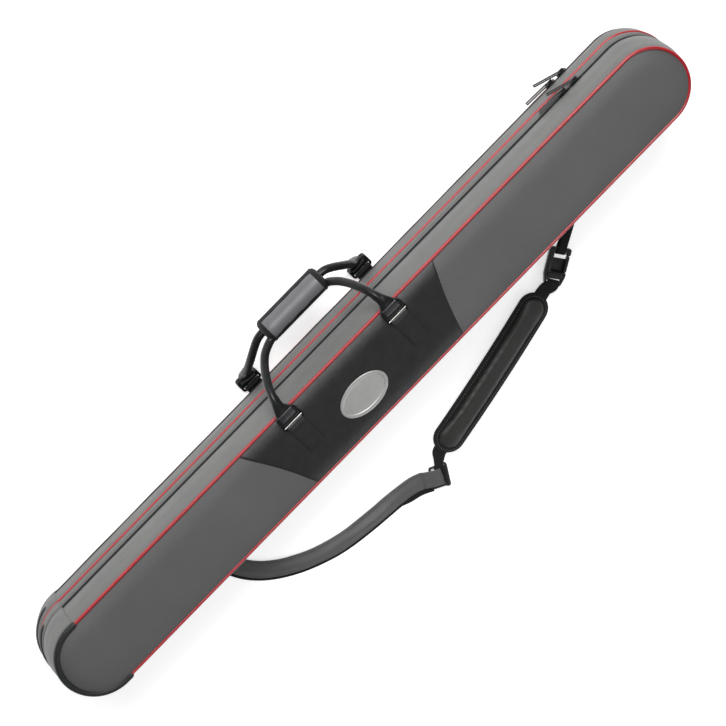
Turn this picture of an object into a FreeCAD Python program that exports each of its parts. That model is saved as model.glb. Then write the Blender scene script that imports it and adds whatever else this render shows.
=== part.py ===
import FreeCAD, Part
import math
import os

from FreeCAD import Vector

# Two-compartment fishing rod case lying on its back panel.
# Frame: millimetres, +X towards the tip end, +Y towards the zips and handles, +Z out of the front panel.
# Origin: centre of the back panel's outer face.

# ---- driving dimensions -------------------------------------------------------------------------
caseLength = 1300.0        # over the front piping's centreline
frontHalfWidth = 62.5      # front piping's centreline to the centre line
middleHalfWidth = 67.0     # middle piping, where the case is widest
rearHalfWidth = 49.5       # rear piping
capCentre = caseLength / 2 - frontHalfWidth   # x of both end arcs' centres

backFaceZ = 0.0
rearPipingZ = 5.0
rearZipZ = 30.0
middlePipingZ = 70.0
frontZipZ = 92.0
frontPipingZ = 157.0
frontFaceZ = 162.0

wall = 3.0                 # padded gusset cloth
rearZipHalfWidth = 64.0
frontZipHalfWidth = 67.0
zipHalf = 4.0              # visible width of half a zip
seamGap = 0.4              # between two bodies where the case opens
frontPipingRadius = 3.0
middlePipingRadius = 2.5
rearPipingRadius = 3.0
guardRadius = 5.5
zipEndX = -578.0           # both zips stop here, just before the butt arc

handleRingWire = 2.0
handleRingInside = 30.0
handleRingPitch = 12.0
armRadius = 6.5
frontRingX = (86.0, -134.0)
rearRingX = (98.0, -142.0)
frontHinge = (40.0, 168.2)     # y, z of the front rings' inner bars
rearHinge = (61.0, 5.4)
gripX = (-73.0, 48.0)
gripCentre = (139.0, 80.0)     # y, z
gripHalf = (19.5, 23.0)        # y, z half sizes
gripArmOffset = 12.0           # each handle's arm lies this far from the grip's parting plane

sliderX = (520.0, 496.0)       # the two sliders of each zip stand head to head
sliderLength = 18.0
pullLength = 44.0
pullLift = {"tip": 18.0, "butt": 2.0}   # the tip slider's pull rests over the other slider's bridge

strapWidth = 28.0
strapThick = 3.0
padLength = 290.0
padWidth = 52.0
padThick = 16.0

parts = {}


def add(name, shape):
    """Keep a finished sub-part under its node name."""
    parts[name] = shape


def clean(shape):
    """Merge split faces and unwrap a compound that holds one solid."""
    shape = shape.removeSplitter()
    if shape.ShapeType == "Compound" and len(shape.Solids) == 1:
        shape = shape.Solids[0]
    return shape


def join(shapes):
    """Fuse a list of solids into one."""
    return clean(shapes[0].fuse(shapes[1:]) if len(shapes) > 1 else shapes[0])


def box(low, high):
    """Box from its low corner to its high corner."""
    size = [high[i] - low[i] for i in range(3)]
    return Part.makeBox(size[0], size[1], size[2], Vector(*low))


def polygonFace(points):
    """Flat face from a closed list of corners."""
    corners = [Vector(*p) for p in points]
    return Part.Face(Part.makePolygon(corners + [corners[0]]))


# ---- stadium shapes -----------------------------------------------------------------------------
def stadiumPlate(radius, lowZ, highZ):
    """Plate with straight sides and half-round ends."""
    x = capCentre
    edges = [
        Part.makeLine(Vector(-x, radius, lowZ), Vector(x, radius, lowZ)),
        Part.Arc(Vector(x, radius, lowZ), Vector(x + radius, 0, lowZ), Vector(x, -radius, lowZ)).toShape(),
        Part.makeLine(Vector(x, -radius, lowZ), Vector(-x, -radius, lowZ)),
        Part.Arc(Vector(-x, -radius, lowZ), Vector(-x - radius, 0, lowZ), Vector(-x, radius, lowZ)).toShape(),
    ]
    return Part.Face(Part.Wire(edges)).extrude(Vector(0, 0, highZ - lowZ))


def sideRun(profile, side, startX=-capCentre, endX=capCentre):
    """Straight run of a (radius, z) profile along one long side; side is +1 or -1."""
    face = polygonFace([(startX, side * r, z) for r, z in profile])
    return face.extrude(Vector(endX - startX, 0, 0))


def capRun(profile, end, fromDeg=-90.0, toDeg=90.0):
    """The same profile turned round one end; angles are measured from the end's outward direction."""
    centre = Vector(end * capCentre, 0, 0)
    outward = 0.0 if end > 0 else 180.0
    face = polygonFace([(centre.x + r, 0, z) for r, z in profile])
    face.rotate(centre, Vector(0, 0, 1), outward + fromDeg)
    return face.revolve(centre, Vector(0, 0, 1), toDeg - fromDeg)


def roundSide(radius, z, wire, side, startX=-capCentre, endX=capCentre):
    """Straight round cord along one long side."""
    return Part.makeCylinder(wire, endX - startX, Vector(startX, side * radius, z), Vector(1, 0, 0))


def roundCap(radius, z, wire, end, fromDeg=-90.0, toDeg=90.0):
    """Round cord turned about one end."""
    centre = Vector(end * capCentre, 0, 0)
    outward = 0.0 if end > 0 else 180.0
    circle = Part.makeCircle(wire, Vector(centre.x + radius, 0, z), Vector(0, 1, 0))
    face = Part.Face(Part.Wire(circle))
    face.rotate(centre, Vector(0, 0, 1), outward + fromDeg)
    return face.revolve(centre, Vector(0, 0, 1), toDeg - fromDeg)


def wallProfile(lowR, lowZ, highR, highZ, thick=wall):
    """Section of a padded wall between two heights, as (radius, z) corners."""
    return [(lowR, lowZ), (highR, highZ), (highR - thick, highZ), (lowR - thick, lowZ)]


def addWall(name, zipped, plain, guard=None):
    """Wall round the case: the zip side and the tip leave room for the zip, the others don't."""
    add("%s_sides" % name, Part.makeCompound([sideRun(zipped, 1), sideRun(plain, -1)]))
    butt = capRun(plain, -1)
    if guard:
        butt = clean(butt.cut(guard))
    add("%s_ends" % name, Part.makeCompound([capRun(zipped, 1), butt]))


def between(z, lowZ, lowR, highZ, highR):
    """Radius of the case's outline at height z on the line between two seams."""
    return lowR + (highR - lowR) * (z - lowZ) / (highZ - lowZ)


# ---- swept tubes --------------------------------------------------------------------------------
def tangentPath(points):
    """Straight runs joined by the largest tangent arcs that the runs allow."""
    pts = [Vector(*p) for p in points]
    edges = []
    start = pts[0]
    for before, corner, after in zip(pts, pts[1:], pts[2:]):
        inward = (before - corner).normalize()
        onward = (after - corner).normalize()
        turn = math.pi - inward.getAngle(onward)
        reach = 0.45 * min((before - corner).Length, (after - corner).Length)
        radius = reach / math.tan(turn / 2)
        first = corner + inward * reach
        last = corner + onward * reach
        bisector = (inward + onward).normalize()
        middle = corner + bisector * (radius / math.cos(turn / 2) - radius)
        edges.append(Part.makeLine(start, first))
        edges.append(Part.Arc(first, middle, last).toShape())
        start = last
    edges.append(Part.makeLine(start, pts[-1]))
    return Part.Wire(edges)


def tube(points, radius):
    """Round tube along a tangent path."""
    path = tangentPath(points)
    heading = (Vector(*points[1]) - Vector(*points[0])).normalize()
    section = Part.Wire(Part.makeCircle(radius, Vector(*points[0]), heading))
    solid = path.makePipeShell([section], True, False)
    expected = math.pi * radius ** 2 * path.Length
    print("tube length %.1f, volume %.3f of section times length" % (path.Length, solid.Volume / expected))
    return solid


def ribbon(outline, lowZ, highZ):
    """Flat strip lying level, from its outline seen from above."""
    return polygonFace([(x, y, lowZ) for x, y in outline]).extrude(Vector(0, 0, highZ - lowZ))


def stripOutline(centre, width):
    """Outline of a flat strip that follows a centre line seen from above."""
    left = []
    right = []
    for i, (x, y) in enumerate(centre):
        ahead = centre[min(i + 1, len(centre) - 1)]
        behind = centre[max(i - 1, 0)]
        dx = ahead[0] - behind[0]
        dy = ahead[1] - behind[1]
        span = math.hypot(dx, dy)
        left.append((x - dy / span * width / 2, y + dx / span * width / 2))
        right.append((x + dy / span * width / 2, y - dx / span * width / 2))
    return left + right[::-1]


# ---- back shell ---------------------------------------------------------------------------------
def makeBackShell():
    """Back panel, its boards, piping, guard and the gusset up to the rear zip."""
    pockets = []
    for x in rearRingX:
        pockets.append(box((x - 17, 3, -1), (x + 17, 70, 2.0)))
    panel = stadiumPlate(rearHalfWidth - rearPipingRadius - 0.5, backFaceZ, 3.0).cut(join(pockets))
    guard = roundCap(rearHalfWidth, guardRadius + 0.2, guardRadius, -1)
    add("back_panel", clean(panel.cut(guard)))
    add("back_board", clean(stadiumPlate(46.0, 3.0, 6.0).cut(guard)))
    add("back_lining", clean(stadiumPlate(46.0, 6.0, 7.5).cut(guard)))
    piping = [roundSide(rearHalfWidth, rearPipingZ, rearPipingRadius, side) for side in (1, -1)]
    piping.append(roundCap(rearHalfWidth, rearPipingZ, rearPipingRadius, 1))
    add("back_piping", join(piping))
    add("back_butt_guard", guard)
    addRodRests("rear", 7.5, 44.0)

    lowZ = rearPipingZ + rearPipingRadius
    topPlain = rearZipZ - seamGap / 2
    topZipped = rearZipZ - zipHalf - 0.2
    zipLine = (rearPipingZ, rearHalfWidth + 2.0, rearZipZ, rearZipHalfWidth)

    def section(highZ):
        return wallProfile(between(lowZ, *zipLine), lowZ, between(highZ, *zipLine), highZ)

    addWall("back_gusset", section(topZipped), section(topPlain), guard)
    zipLow = rearZipZ - seamGap / 2 - zipHalf
    add("rear_zip_lower", zipTape(zipLow, rearZipZ - seamGap / 2, rearZipHalfWidth - 0.8))


def zipTape(lowZ, highZ, radius):
    """Half of a coil zip: down the zip side and round the tip."""
    profile = [(radius - 1.4, lowZ), (radius + 0.6, lowZ), (radius + 0.6, highZ), (radius - 1.4, highZ)]
    return join([sideRun(profile, 1, zipEndX, capCentre), capRun(profile, 1, -88.0, 90.0)])


# ---- middle section -----------------------------------------------------------------------------
def makeMiddle():
    """Divider between the compartments, with the walls that meet both zips."""
    add("divider_board", stadiumPlate(63.0, middlePipingZ - 1.5, middlePipingZ + 1.5))
    add("divider_lining", stadiumPlate(62.0, middlePipingZ + 1.5, middlePipingZ + 2.5))
    piping = [roundSide(middleHalfWidth, middlePipingZ, middlePipingRadius, side) for side in (1, -1)]
    piping += [roundCap(middleHalfWidth, middlePipingZ, middlePipingRadius, end) for end in (1, -1)]
    add("middle_piping", join(piping))

    upLow = middlePipingZ + middlePipingRadius
    upHigh = frontZipZ - seamGap / 2
    upZipped = frontZipZ - zipHalf - 0.2
    outer = middleHalfWidth + 0.3

    def upper(highZ):
        return wallProfile(outer, upLow, frontZipHalfWidth, highZ)

    addWall("middle_front_wall", upper(upZipped), upper(upHigh))
    add("front_zip_lower", zipTape(upHigh - zipHalf, upHigh, frontZipHalfWidth - 0.4))

    downHigh = middlePipingZ - middlePipingRadius
    downLow = rearZipZ + seamGap / 2
    downZipped = rearZipZ + zipHalf + 0.2
    line = (rearZipZ, rearZipHalfWidth, middlePipingZ, outer)

    def lower(lowZ):
        return wallProfile(between(lowZ, *line), lowZ, between(downHigh, *line), downHigh)

    addWall("middle_rear_wall", lower(downZipped), lower(downLow))
    add("rear_zip_upper", zipTape(downLow, downLow + zipHalf, rearZipHalfWidth - 0.8))

    def bumper(lowZ, radius, halfAngle):
        profile = [(radius, lowZ), (radius + 4.5, lowZ + 1.5), (radius + 4.5, lowZ + 8.5), (radius, lowZ + 10)]
        return capRun(profile, -1, -halfAngle, halfAngle)

    add("front_butt_bumper", bumper(76.0, outer + 0.1, 55.0))
    add("rear_butt_bumper", bumper(50.0, outer + 0.1, 62.0))
    addRodRests("front", middlePipingZ + 2.5, 60.0)


def addRodRests(name, floorZ, halfWidth):
    """Three foam blocks with four rod grooves each, and the belt that crosses each block."""
    blocks = []
    belts = []
    height = 13.0
    for x in (-420.0, 0.0, 420.0):
        block = box((x - 25, -halfWidth, floorZ), (x + 25, halfWidth, floorZ + height))
        grooves = []
        for share in (-0.72, -0.24, 0.24, 0.72):
            start = Vector(x - 30, share * halfWidth, floorZ + height + 1)
            grooves.append(Part.makeCylinder(9.0, 60, start, Vector(1, 0, 0)))
        blocks.append(block.cut(join(grooves)))
        belts.append(box((x - 12, -halfWidth, floorZ + height), (x + 12, halfWidth, floorZ + height + 1.5)))
    add("%s_rod_rests" % name, Part.makeCompound(blocks))
    add("%s_rod_belts" % name, Part.makeCompound(belts))


# ---- front lid ----------------------------------------------------------------------------------
def makeFrontLid():
    """Front panel with its piping, guard, centre panel, tabs and the gusset down to the front zip."""
    guard = roundCap(frontHalfWidth, frontPipingZ, guardRadius, -1)
    panel = stadiumPlate(59.3, frontPipingZ - 1, frontFaceZ)
    top = [e for e in panel.Edges if all(abs(v.Z - frontFaceZ) < 1e-6 for v in e.Vertexes)]
    panel = panel.makeFillet(3.0, top)
    add("front_panel", clean(panel.cut(guard)))
    add("front_board", clean(stadiumPlate(59.0, frontPipingZ - 4, frontPipingZ - 1).cut(guard)))
    add("front_lining", clean(stadiumPlate(58.5, frontPipingZ - 5.5, frontPipingZ - 4).cut(guard)))
    piping = [roundSide(frontHalfWidth, frontPipingZ, frontPipingRadius, side) for side in (1, -1)]
    piping.append(roundCap(frontHalfWidth, frontPipingZ, frontPipingRadius, 1))
    add("front_piping", join(piping))
    add("front_butt_guard", guard)

    highZ = frontPipingZ - frontPipingRadius
    lowPlain = frontZipZ + seamGap / 2
    lowZipped = frontZipZ + zipHalf + 0.2
    line = (frontZipZ, frontZipHalfWidth, frontPipingZ, frontHalfWidth)

    def section(lowZ):
        return wallProfile(between(lowZ, *line), lowZ, between(highZ, *line), highZ)

    addWall("front_gusset", section(lowZipped), section(lowPlain), guard)
    add("front_zip_upper", zipTape(lowPlain, lowPlain + zipHalf, frontZipHalfWidth - 0.4))

    # The centre panel is longer at the zip side and its two ends bow slightly.
    halfY = 55.5
    tipEnd = Part.Arc(Vector(178, halfY, 0), Vector(150, 5, 0), Vector(136, -halfY, 0)).toShape()
    buttEnd = Part.Arc(Vector(-177, -halfY, 0), Vector(-196, -5, 0), Vector(-227, halfY, 0)).toShape()
    edges = [Part.makeLine(Vector(-227, halfY, 0), Vector(178, halfY, 0)), tipEnd,
             Part.makeLine(Vector(136, -halfY, 0), Vector(-177, -halfY, 0)), buttEnd]
    centre = Part.Face(Part.Wire(edges)).extrude(Vector(0, 0, 1.2))
    centre.translate(Vector(0, 0, frontFaceZ))
    add("centre_panel", centre)
    add("badge", makeBadge(frontFaceZ + 1.2))


def makeBadge(z):
    """Plain oval metal badge with a raised rim."""
    centre = Vector(-33, -11, z)

    def oval(long, short, height):
        face = Part.Face(Part.Wire(Part.Ellipse(centre, long, short).toShape()))
        return face.extrude(Vector(0, 0, height))

    return clean(oval(44, 27, 1.6).cut(oval(38, 21, 3).translated(Vector(0, 0, 1.0))))


# ---- handles ------------------------------------------------------------------------------------
def ringLoop(x, y, z, reach):
    """Rectangular wire loop: one bar at y, the other at y + reach."""
    half = handleRingInside / 2 + handleRingWire
    bars = []
    for barY in (y, y + reach):
        bars.append(Part.makeCylinder(handleRingWire, 2 * half, Vector(x - half, barY, z), Vector(1, 0, 0)))
    for side in (-1, 1):
        for barY in (y, y + reach):
            bars.append(Part.makeSphere(handleRingWire, Vector(x + side * half, barY, z)))
        bars.append(Part.makeCylinder(handleRingWire, reach, Vector(x + side * half, y, z), Vector(0, 1, 0)))
    return join(bars)


def sleeve(x, y, z, width, inner, outer):
    """Cloth wrapped round a ring's bar."""
    start = Vector(x - width / 2, y, z)
    body = Part.makeCylinder(outer, width, start, Vector(1, 0, 0))
    return body.cut(Part.makeCylinder(inner, width, start, Vector(1, 0, 0)))


def leatherEnd(x, y, z, tipPoint, heading):
    """Folded leather end: round the outer bar, then narrowing into the arm."""
    wrap = sleeve(x, y, z, handleRingInside - 3, handleRingWire, 4.5)
    half = (handleRingInside - 3) / 2
    wide = Part.makePolygon([Vector(x - half, y + 4.2, z - 3.4), Vector(x + half, y + 4.2, z - 3.4),
                             Vector(x + half, y + 4.2, z + 4.2), Vector(x - half, y + 4.2, z + 4.2),
                             Vector(x - half, y + 4.2, z - 3.4)])
    narrowHalf = armRadius
    along = heading.normalize()
    across = Vector(1, 0, 0)
    up = across.cross(along).normalize()
    across = along.cross(up).normalize()
    corners = []
    for a, b in ((-1, -1), (1, -1), (1, 1), (-1, 1)):
        corners.append(tipPoint + across * (a * narrowHalf) + up * (b * narrowHalf))
    if (corners[0] - Vector(x - half, y, z)).Length > (corners[1] - Vector(x - half, y, z)).Length:
        corners = [corners[1], corners[0], corners[3], corners[2]]
    narrow = Part.makePolygon(corners + [corners[0]])
    flare = Part.makeLoft([wide, narrow], True, True)
    block = box((x - half, y + 2.4, z - 3.4), (x + half, y + 4.2, z + 4.2))
    bar = Part.makeCylinder(handleRingWire, 2 * half, Vector(x - half, y, z), Vector(1, 0, 0))
    return join([wrap, block.cut(bar), flare])


def makeHandle(name, ringX, hinge, arms, armZ, upper):
    """One carry handle: two rings, two leather ends, one arm and half of the grip wrap."""
    y, z = hinge
    outerY = y + handleRingPitch
    ends = []
    add("%s_handle_rings" % name, Part.makeCompound([ringLoop(x, y, z, handleRingPitch) for x in ringX]))
    armPoints = list(arms[0]) + [(gripX[1], gripCentre[0], armZ), (gripX[0], gripCentre[0], armZ)]
    armPoints += list(arms[1])[::-1]
    rope = tube(armPoints, armRadius)
    for x, run in zip(ringX, arms):
        first = Vector(*run[0])
        heading = Vector(*run[1]) - first
        ends.append(leatherEnd(x, outerY, z, first, heading))
    add("%s_leather_ends" % name, Part.makeCompound(ends))
    add("%s_arm" % name, clean(rope.cut(ends[0]).cut(ends[1])))

    length = gripX[1] - gripX[0]
    centre = Vector(gripX[0], gripCentre[0], gripCentre[1])
    ellipse = Part.Ellipse(Vector(0, 0, 0), gripHalf[1], gripHalf[0]).toShape()
    section = Part.Face(Part.Wire(ellipse))
    section.rotate(Vector(0, 0, 0), Vector(0, 1, 0), 90)
    section.translate(centre)
    grip = section.extrude(Vector(length, 0, 0))
    low, high = (gripCentre[1] + 0.2, 200.0) if upper else (-200.0, gripCentre[1] - 0.2)
    half = grip.common(box((gripX[0] - 5, 0, low), (gripX[1] + 5, 300, high)))
    core = Part.makeCylinder(armRadius, length + 20, Vector(gripX[0] - 10, gripCentre[0], armZ), Vector(1, 0, 0))
    add("%s_grip_half" % name, clean(half.cut(core).cut(rope)))


def makeTabs():
    """Cloth tabs that hold the rings on the front and back panels."""
    y, z = frontHinge
    base = frontFaceZ + 1.2
    tabs = []
    for x in frontRingX:
        strip = box((x - 15, -15, base), (x + 15, y - 1, base + 2))
        neck = box((x - 13, y - 8, base), (x + 13, y, z - 2.6))
        loop = sleeve(x, y, z, 26, handleRingWire + 0.3, 4.4)
        hole = Part.makeCylinder(handleRingWire + 0.3, 26, Vector(x - 13, y, z), Vector(1, 0, 0))
        tabs.append(join([strip, neck.cut(hole), loop]))
    add("front_tabs", Part.makeCompound(tabs))
    y, z = rearHinge
    tabs = []
    for x in rearRingX:
        strip = box((x - 15, 5, 0.3), (x + 15, y, 1.8))
        loop = sleeve(x, y, z, 26, handleRingWire + 0.3, 4.4)
        tabs.append(join([strip, loop]))
    add("back_tabs", Part.makeCompound(tabs))


frontArms = (
    ((86, 76, 170), (83, 92, 163), (76, 110, 145), (64, 127, 116)),
    ((-134, 76, 170), (-129, 92, 162), (-116, 110, 144), (-95, 128, 114)),
)
rearArms = (
    ((98, 92, 15), (95, 104, 27), (85, 119, 45), (68, 132, 60)),
    ((-142, 92, 15), (-133, 104, 27), (-116, 119, 45), (-96, 132, 60)),
)


# ---- zip sliders --------------------------------------------------------------------------------
def makeSliders():
    """Four sliders with their wire pulls, two on each zip, just outside the closed teeth."""
    for zipName, z, face in (("front", frontZipZ, frontZipHalfWidth), ("rear", rearZipZ, rearZipHalfWidth)):
        low = face + 0.6
        for place, x in zip(("tip", "butt"), sliderX):
            plate = box((x - sliderLength / 2, low, z - 5), (x + sliderLength / 2, low + 2.4, z + 5))
            corners = [e for e in plate.Edges if abs(e.Vertexes[0].Y - e.Vertexes[-1].Y) > 1]
            plate = plate.makeFillet(3.0, corners)
            bridge = box((x - 6, low + 2.4, z - 1.2), (x + 6, low + 6.4, z + 1.2))
            window = Part.makeCylinder(1.5, 6, Vector(x - 2.5, low + 4.2, z - 3), Vector(0, 0, 1))
            add("%s_slider_%s" % (zipName, place), join([plate, bridge.cut(window)]))
            pull = makePull(x - 2.5, low + 4.2, z)
            pull.rotate(Vector(x - 2.5, low + 4.2, z), Vector(0, 0, 1), -pullLift[place])
            add("%s_pull_%s" % (zipName, place), pull)


def makePull(x, y, z):
    """Long wire loop that hangs from the slider's bridge and lies towards the butt end."""
    wire = 1.2
    half = 3.6
    bars = [Part.makeCylinder(wire, 2 * half, Vector(x, y, z - half), Vector(0, 0, 1)),
            Part.makeCylinder(wire, 2 * half, Vector(x - pullLength, y, z - half), Vector(0, 0, 1))]
    for side in (-1, 1):
        bars.append(Part.makeCylinder(wire, pullLength, Vector(x - pullLength, y, z + side * half), Vector(1, 0, 0)))
        for end in (0, pullLength):
            bars.append(Part.makeSphere(wire, Vector(x - end, y, z + side * half)))
    return join(bars)


# ---- shoulder strap -----------------------------------------------------------------------------
# The strap lies beside the case. Its pad and its snap hook are straight, each along an axis of its own.
padButt = Vector(-22.0, -247.0, 0)
padTip = Vector(267.0, -182.0, 0)
hookBase = Vector(285.0, -184.0, 0)
hookTip = Vector(337.0, -150.0, 0)
adjusterCentre = Vector(-50.0, -276.0, 0)
adjusterAngle = 150.0
hookGatePivot = (-5.2, -14.9)   # in the hook's own frame, X along the hook
strapLine = ((-58.0, -271.4), (-72.0, -263.0), (-90.0, -256.0), (-118.0, -251.0), (-146.0, -248.0),
             (-175.0, -245.0), (-209.0, -240.0), (-236.0, -234.0), (-259.0, -226.0), (-282.0, -216.0),
             (-302.0, -205.0), (-321.0, -192.0), (-337.0, -178.0), (-350.0, -163.0), (-360.0, -147.0),
             (-367.0, -130.0), (-371.0, -113.0), (-372.0, -96.5))
tipAnchorLine = ((430.0, -57.0), (426.0, -82.0), (412.0, -104.0), (392.0, -121.0), (367.0, -135.0))
buttAnchorX = -372.0
strapRingY = -96.0
strapRingZ = 8.0


def placed(shape, centre, angleDeg):
    """Turn a shape about +Z and move it to its place on the floor."""
    shape.rotate(Vector(0, 0, 0), Vector(0, 0, 1), angleDeg)
    shape.translate(centre)
    return shape


def headingDeg(start, end):
    """Angle of a line on the floor, from +X."""
    return math.degrees(math.atan2(end.y - start.y, end.x - start.x))


def makeStrap():
    """Grey strap, adjuster, webbing, pad, snap hook and the two anchors on the case."""
    main = ribbon(stripOutline(strapLine, strapWidth), 1.0, 1.0 + strapThick)
    ringBar = Part.makeCylinder(handleRingWire, strapWidth, Vector(buttAnchorX - strapWidth / 2, strapRingY,
                                                                   strapRingZ), Vector(1, 0, 0))
    fold = sleeve(buttAnchorX, strapRingY, strapRingZ, strapWidth - 1, handleRingWire, 5.0)
    riser = box((buttAnchorX - 13.5, strapRingY - 5, 1.5), (buttAnchorX + 13.5, strapRingY - 1, 7.5))
    add("strap_main", join([main, fold, riser.cut(ringBar)]))
    add("strap_ring", ringLoop(buttAnchorX, strapRingY, strapRingZ, handleRingPitch))
    tabY = strapRingY + handleRingPitch
    tab = polygonFace([(buttAnchorX - 13, y, z) for y, z in ((tabY + 1, 9.5), (tabY + 1, 12.5),
                                                              (-57.4, 15.5), (-56.1, 13.0))])
    tabFold = sleeve(buttAnchorX, tabY, strapRingZ, 26, handleRingWire, 4.6)
    tabBar = Part.makeCylinder(handleRingWire, 40, Vector(buttAnchorX - 20, tabY, strapRingZ), Vector(1, 0, 0))
    add("butt_anchor", join([tab.extrude(Vector(26, 0, 0)).cut(tabBar), tabFold]))

    padTurn = headingDeg(padButt, padTip)
    padMiddle = (padTip + padButt) * 0.5
    straight = padLength - padWidth
    ends = [Part.makeCylinder(padWidth / 2, padThick, Vector(side * straight / 2, 0, 1)) for side in (-1, 1)]
    body = join([box((-straight / 2, -padWidth / 2, 1), (straight / 2, padWidth / 2, 1 + padThick))] + ends)
    tunnel = box((-200, -12.9, 7.6), (200, 12.9, 10.4))
    add("shoulder_pad", placed(clean(body.cut(tunnel)), padMiddle, padTurn))
    webbing = placed(box((-padLength / 2 - 4, -12.5, 8.0), (padLength / 2 + 9, 12.5, 10.0)), padMiddle, padTurn)
    turn = [(-20.0, -246.5), (-26.0, -251.0), (-33.0, -257.0), (-38.0, -264.0)]
    add("pad_webbing", join([webbing, ribbon(stripOutline(turn, 13.0), 8.0, 10.0)]))

    frame = box((-13, -19, 4.1), (13, 19, 7.9))
    rounded = frame.makeFillet(4.0, [e for e in frame.Edges if abs(e.Vertexes[0].Z - e.Vertexes[-1].Z) > 1])
    slots = join([box((-9.5, -15.5, 0), (-4.0, 15.5, 12)), box((4.0, -15.5, 0), (9.5, 15.5, 12))])
    add("strap_adjuster", placed(clean(rounded.cut(slots)), adjusterCentre, adjusterAngle))

    hookTurn = headingDeg(hookBase, hookTip)
    hookMiddle = (hookBase + hookTip) * 0.5
    frame = box((-31, -18, 3.5), (-8, 18, 11.0)).cut(box((-26, -14, 0), (-20, 14, 15)))
    arm = box((-8, 9, 3.5), (31, 18, 11.0))
    bar = box((25, -18, 3.5), (31, 9, 11.0))
    nose = box((19, -18, 3.5), (25, -11, 11.0))
    add("hook_body", placed(join([frame, arm, bar, nose]), hookMiddle, hookTurn))
    knuckle = Part.makeCylinder(2.5, 6.5, Vector(*hookGatePivot, 4.0))
    lever = box((hookGatePivot[0], hookGatePivot[1] - 2.5, 4.0), (18.6, hookGatePivot[1] + 2.5, 10.5))
    add("hook_gate", placed(join([knuckle, lever]), hookMiddle, hookTurn))
    pivot = placed(Part.Vertex(Vector(*hookGatePivot, 7.0)), hookMiddle, hookTurn).Point
    print("gate pivot %.4f %.4f" % (pivot.x, pivot.y))
    add("tip_anchor", tipAnchor(hookMiddle, hookTurn))


def tipAnchor(hookMiddle, hookTurn):
    """Webbing loop from the case round the snap hook's end bar, lying flat."""
    inside = placed(Part.Vertex(Vector(23.2, 0, 0)), hookMiddle, hookTurn).Point
    outline = stripOutline(tipAnchorLine + ((inside.x, inside.y),), 14.0)
    legs = [ribbon(outline, 1.0, 2.6), ribbon(outline, 11.6, 13.2)]
    closing = placed(box((21.4, -6.9, 1.0), (24.6, 6.9, 13.2)), hookMiddle, hookTurn)
    return join(legs + [closing])


def writeParts():
    """Write one STEP file for each sub-part."""
    os.makedirs("parts", exist_ok=True)
    for name, shape in parts.items():
        bounds = shape.BoundBox
        print("%-30s solids %d valid %s x %.1f..%.1f y %.1f..%.1f z %.1f..%.1f" % (
            name, len(shape.Solids), shape.isValid(), bounds.XMin, bounds.XMax,
            bounds.YMin, bounds.YMax, bounds.ZMin, bounds.ZMax))
        shape.exportStep("parts/%s.step" % name)


makeBackShell()
makeMiddle()
makeFrontLid()
makeTabs()
makeHandle("front", frontRingX, frontHinge, frontArms, gripCentre[1] + gripArmOffset, True)
makeHandle("rear", rearRingX, rearHinge, rearArms, gripCentre[1] - gripArmOffset, False)
makeSliders()
makeStrap()
writeParts()
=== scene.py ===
import bpy
import bmesh
import math
from mathutils import Matrix, Vector, noise


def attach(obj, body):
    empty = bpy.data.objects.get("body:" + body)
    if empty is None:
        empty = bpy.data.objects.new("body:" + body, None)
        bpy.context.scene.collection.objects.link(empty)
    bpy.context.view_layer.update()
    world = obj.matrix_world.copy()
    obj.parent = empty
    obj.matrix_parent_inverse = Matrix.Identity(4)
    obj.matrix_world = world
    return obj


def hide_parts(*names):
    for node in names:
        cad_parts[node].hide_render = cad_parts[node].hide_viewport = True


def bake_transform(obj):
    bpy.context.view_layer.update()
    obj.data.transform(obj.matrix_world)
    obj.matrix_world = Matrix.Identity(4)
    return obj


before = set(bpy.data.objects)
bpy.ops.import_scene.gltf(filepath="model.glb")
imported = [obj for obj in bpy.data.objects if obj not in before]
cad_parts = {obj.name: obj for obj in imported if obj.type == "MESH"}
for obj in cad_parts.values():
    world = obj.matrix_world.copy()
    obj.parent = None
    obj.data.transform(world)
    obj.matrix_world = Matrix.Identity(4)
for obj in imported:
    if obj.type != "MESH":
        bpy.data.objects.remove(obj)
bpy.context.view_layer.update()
print("frame loaded")

mm = 0.001  # every size below is in millimetres, and becomes metres when a mesh is made

# The case's outline, shared by all its walls and edges. Positions along it are
# measured at the front piping: along the zip side to the tip, round it, back, round the butt.
outline = {"capX": 587.5, "radius": 62.5, "sideStep": 9.0, "capStep": 3.5}
sideRun = 2 * outline["capX"]
capRun = math.pi * outline["radius"]
outlineRun = 2 * (sideRun + capRun)
zipStart = 9.5                     # both zips stop just before the butt end's arc
zipEnd = sideRun + capRun
buttLap = outlineRun - capRun - 9.5
buttMiddle = outlineRun - capRun / 2

# Camera matched to a long lens, and four soft lights.
cameraValues = {"place": (0.0834, 2.1112, 4.6457), "right": (0.6987, -0.6536, 0.2909),
                "up": (0.7152, 0.6285, -0.3058), "lens": 165.6}
studio = {"floor": "#f2f2f2", "floorGlow": 0.5, "world": 0.3,
          "softboxes": (("zipSide", (1.5, 3.0, 2.6), 1.8, 1.8, 70.0),
                        ("edgeStrip", (0.6, 2.4, 3.0), 3.4, 0.7, 92.0),
                        ("overhead", (0.5, 1.2, 3.7), 2.4, 2.4, 30.0),
                        ("strapSide", (0.2, -3.0, 1.8), 1.8, 1.8, 20.0))}


def aim(thing, place, target):
    thing.location = place
    thing.rotation_euler = (Vector(target) - Vector(place)).to_track_quat("-Z", "Y").to_euler()


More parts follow.
